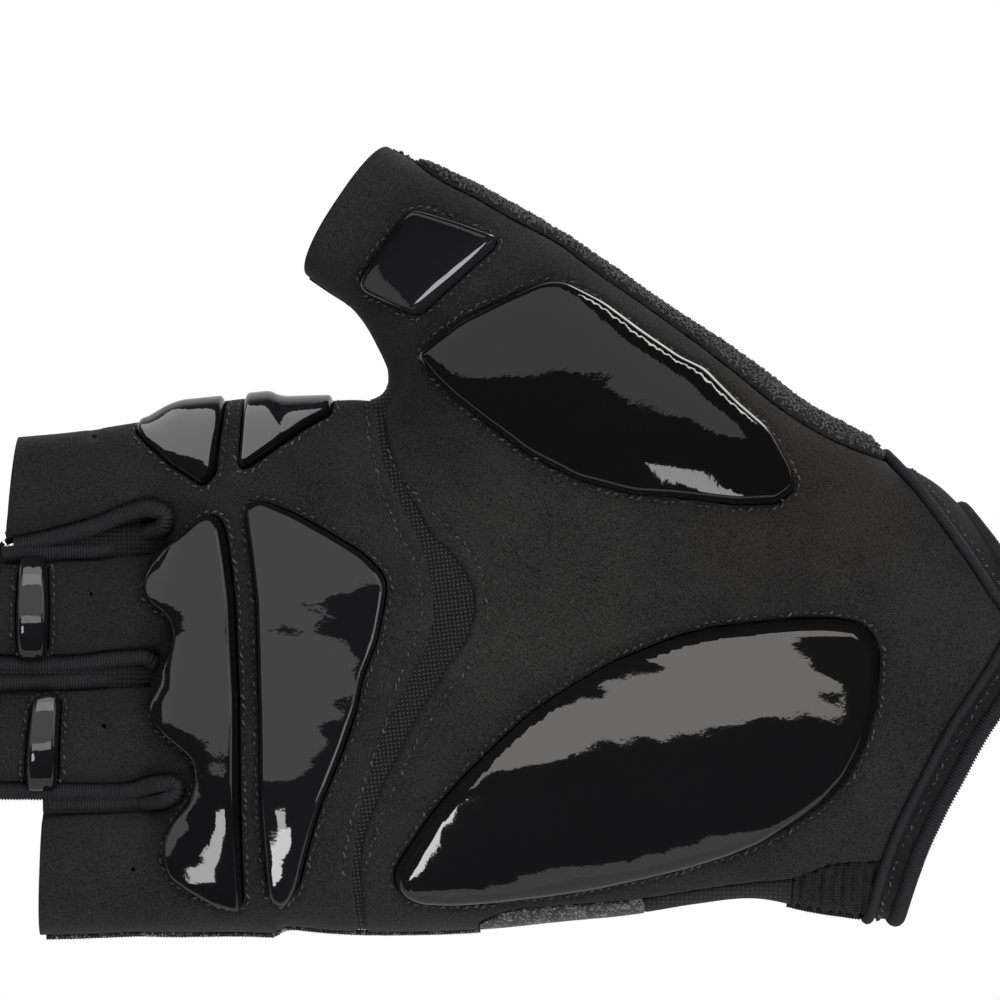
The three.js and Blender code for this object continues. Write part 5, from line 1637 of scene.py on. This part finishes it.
cloth_pieces = [thing for thing in bpy.data.objects if thing.type == "MESH" and thing not in PAD_PIECES]
CLOTH_GROUP = lit_group("lit_by_room_boxes", cloth_pieces)
# Name, distance, azimuth, elevation, width, height, glow, and a roll for the slanted one
ROOM_BOXES = [
    ("top_box", 1.7, 8, 46, 2.2, 1.8, 1.1), ("front_box", 1.7, 22, 2, 1.1, 0.9, 2.4),
    ("left_box", 1.7, -43, -1, 1.75, 1.1, 0.18), ("low_right_box", 1.6, 32, -33, 1.3, 0.35, 4.5, 25),
    ("rim_box", 1.6, 133, 43, 0.9, 0.6, 5.0),
]
for name, *numbers in ROOM_BOXES:
    soft_box(name, CLOTH_GROUP, *numbers)

# %% Reflector cards for the pads
# Pads that mirror the card, then for each card: azimuth, elevation, width, height, glow, roll
CARD_AWAY = 1.7
CARDS = {
    ("knuckle_pad", "palm_bar_pad", "middle_finger_pad", "ring_finger_pad"): [
        (-16, 22, 7.0, 1.9, 1.2, 4), (-22, -28, 0.36, 0.36, 9, 0),
        (82, 10, 3.4, 1.5, 1.1, 0), (-128, 10, 2.2, 1.5, 1.0, 0)],
    ("palm_bar_pad",): [(52, -20, 1.0, 0.5, 3.2, 0), (-24, -37, 0.8, 0.2, 14, 0)],
    ("thenar_pad",): [(-25, 37, 4.2, 1.9, 0.9, 34), (76, 56, 0.16, 0.5, 12, 0), (8, -38, 0.25, 1.5, 6, 10)],
    ("hypothenar_pad",): [(-5, 28, 1.6, 0.84, 3.4, 4), (-24, -17, 0.3, 1.0, 14, 0),
                          (10, -72, 1.6, 0.8, 0.9, 0)],
    ("thumb_pad",): [(-66, -15, 0.9, 1.5, 0.7, 0), (-30, 74, 2.4, 0.7, 1.2, 0), (28, -27, 2.4, 1.1, 9, 0)],
    ("index_pad_outer", "index_pad_inner"): [(-48, 56, 2.8, 2.1, 3.4, 0)],
    ("middle_finger_pad", "ring_finger_pad"): [(-10, -12, 1.2, 0.3, 3.5, 0), (0, 50, 2.0, 1.0, 3.0, 0)],
    ("thenar_pad", "hypothenar_pad", "thumb_pad", "knuckle_pad", "palm_bar_pad"): [
        (133, 43, 0.9, 0.6, 5.0, 0)],
}
for pads, cards in CARDS.items():
    title = f"{pads[0]}_{len(pads)}"
    group = lit_group("mirrors_" + title, [bpy.data.objects["gel_" + pad] for pad in pads])
    for k, card in enumerate(cards):
        tint = WARM if "hypothenar_pad" in pads and k == 0 else WHITE
        soft_box(f"card_{title}_{k}", group, CARD_AWAY, *card, tint)
print("lamps:", len(bpy.data.lights))

# %% Floor
floor_mesh = bpy.data.meshes.new("floor")
FLOOR_Z, FLOOR_FRONT, FLOOR_REACH = -0.6, -0.25, 3.0
floor_mesh.from_pydata([(-FLOOR_REACH, FLOOR_FRONT, FLOOR_Z), (FLOOR_REACH, FLOOR_FRONT, FLOOR_Z),
                        (FLOOR_REACH, FLOOR_REACH, FLOOR_Z), (-FLOOR_REACH, FLOOR_REACH, FLOOR_Z)],
                       [], [(0, 1, 2, 3)])
floor = bpy.data.objects.new("floor", floor_mesh)
bpy.context.scene.collection.objects.link(floor)
pale, _, pale_surface = finish("pale_floor", 0.8)
pale_surface.inputs["Base Color"].default_value = (0.8, 0.8, 0.8, 1)
floor_mesh.materials.append(pale)
CLOTH_GROUP.objects.link(floor)
soft_box("floor_box", lit_group("lit_floor", [floor]), 1.9, 10, 76, 3.4, 3.0, 0.8)

# %% Camera
camera = bpy.data.cameras.new("camera")
camera.sensor_width = SENSOR
camera.lens = SENSOR * (CAMERA_AWAY + PALM_PLANE) / FRAME_SPAN
eye = bpy.data.objects.new("camera", camera)
eye.location = Vector((FRAME_MIDDLE_X, -CAMERA_AWAY, FRAME_MIDDLE_Z)) * MM
eye.rotation_euler = (math.pi / 2, 0, 0)
bpy.context.scene.collection.objects.link(eye)
bpy.context.scene.camera = eye
bpy.context.scene.view_settings.view_transform = "Standard"
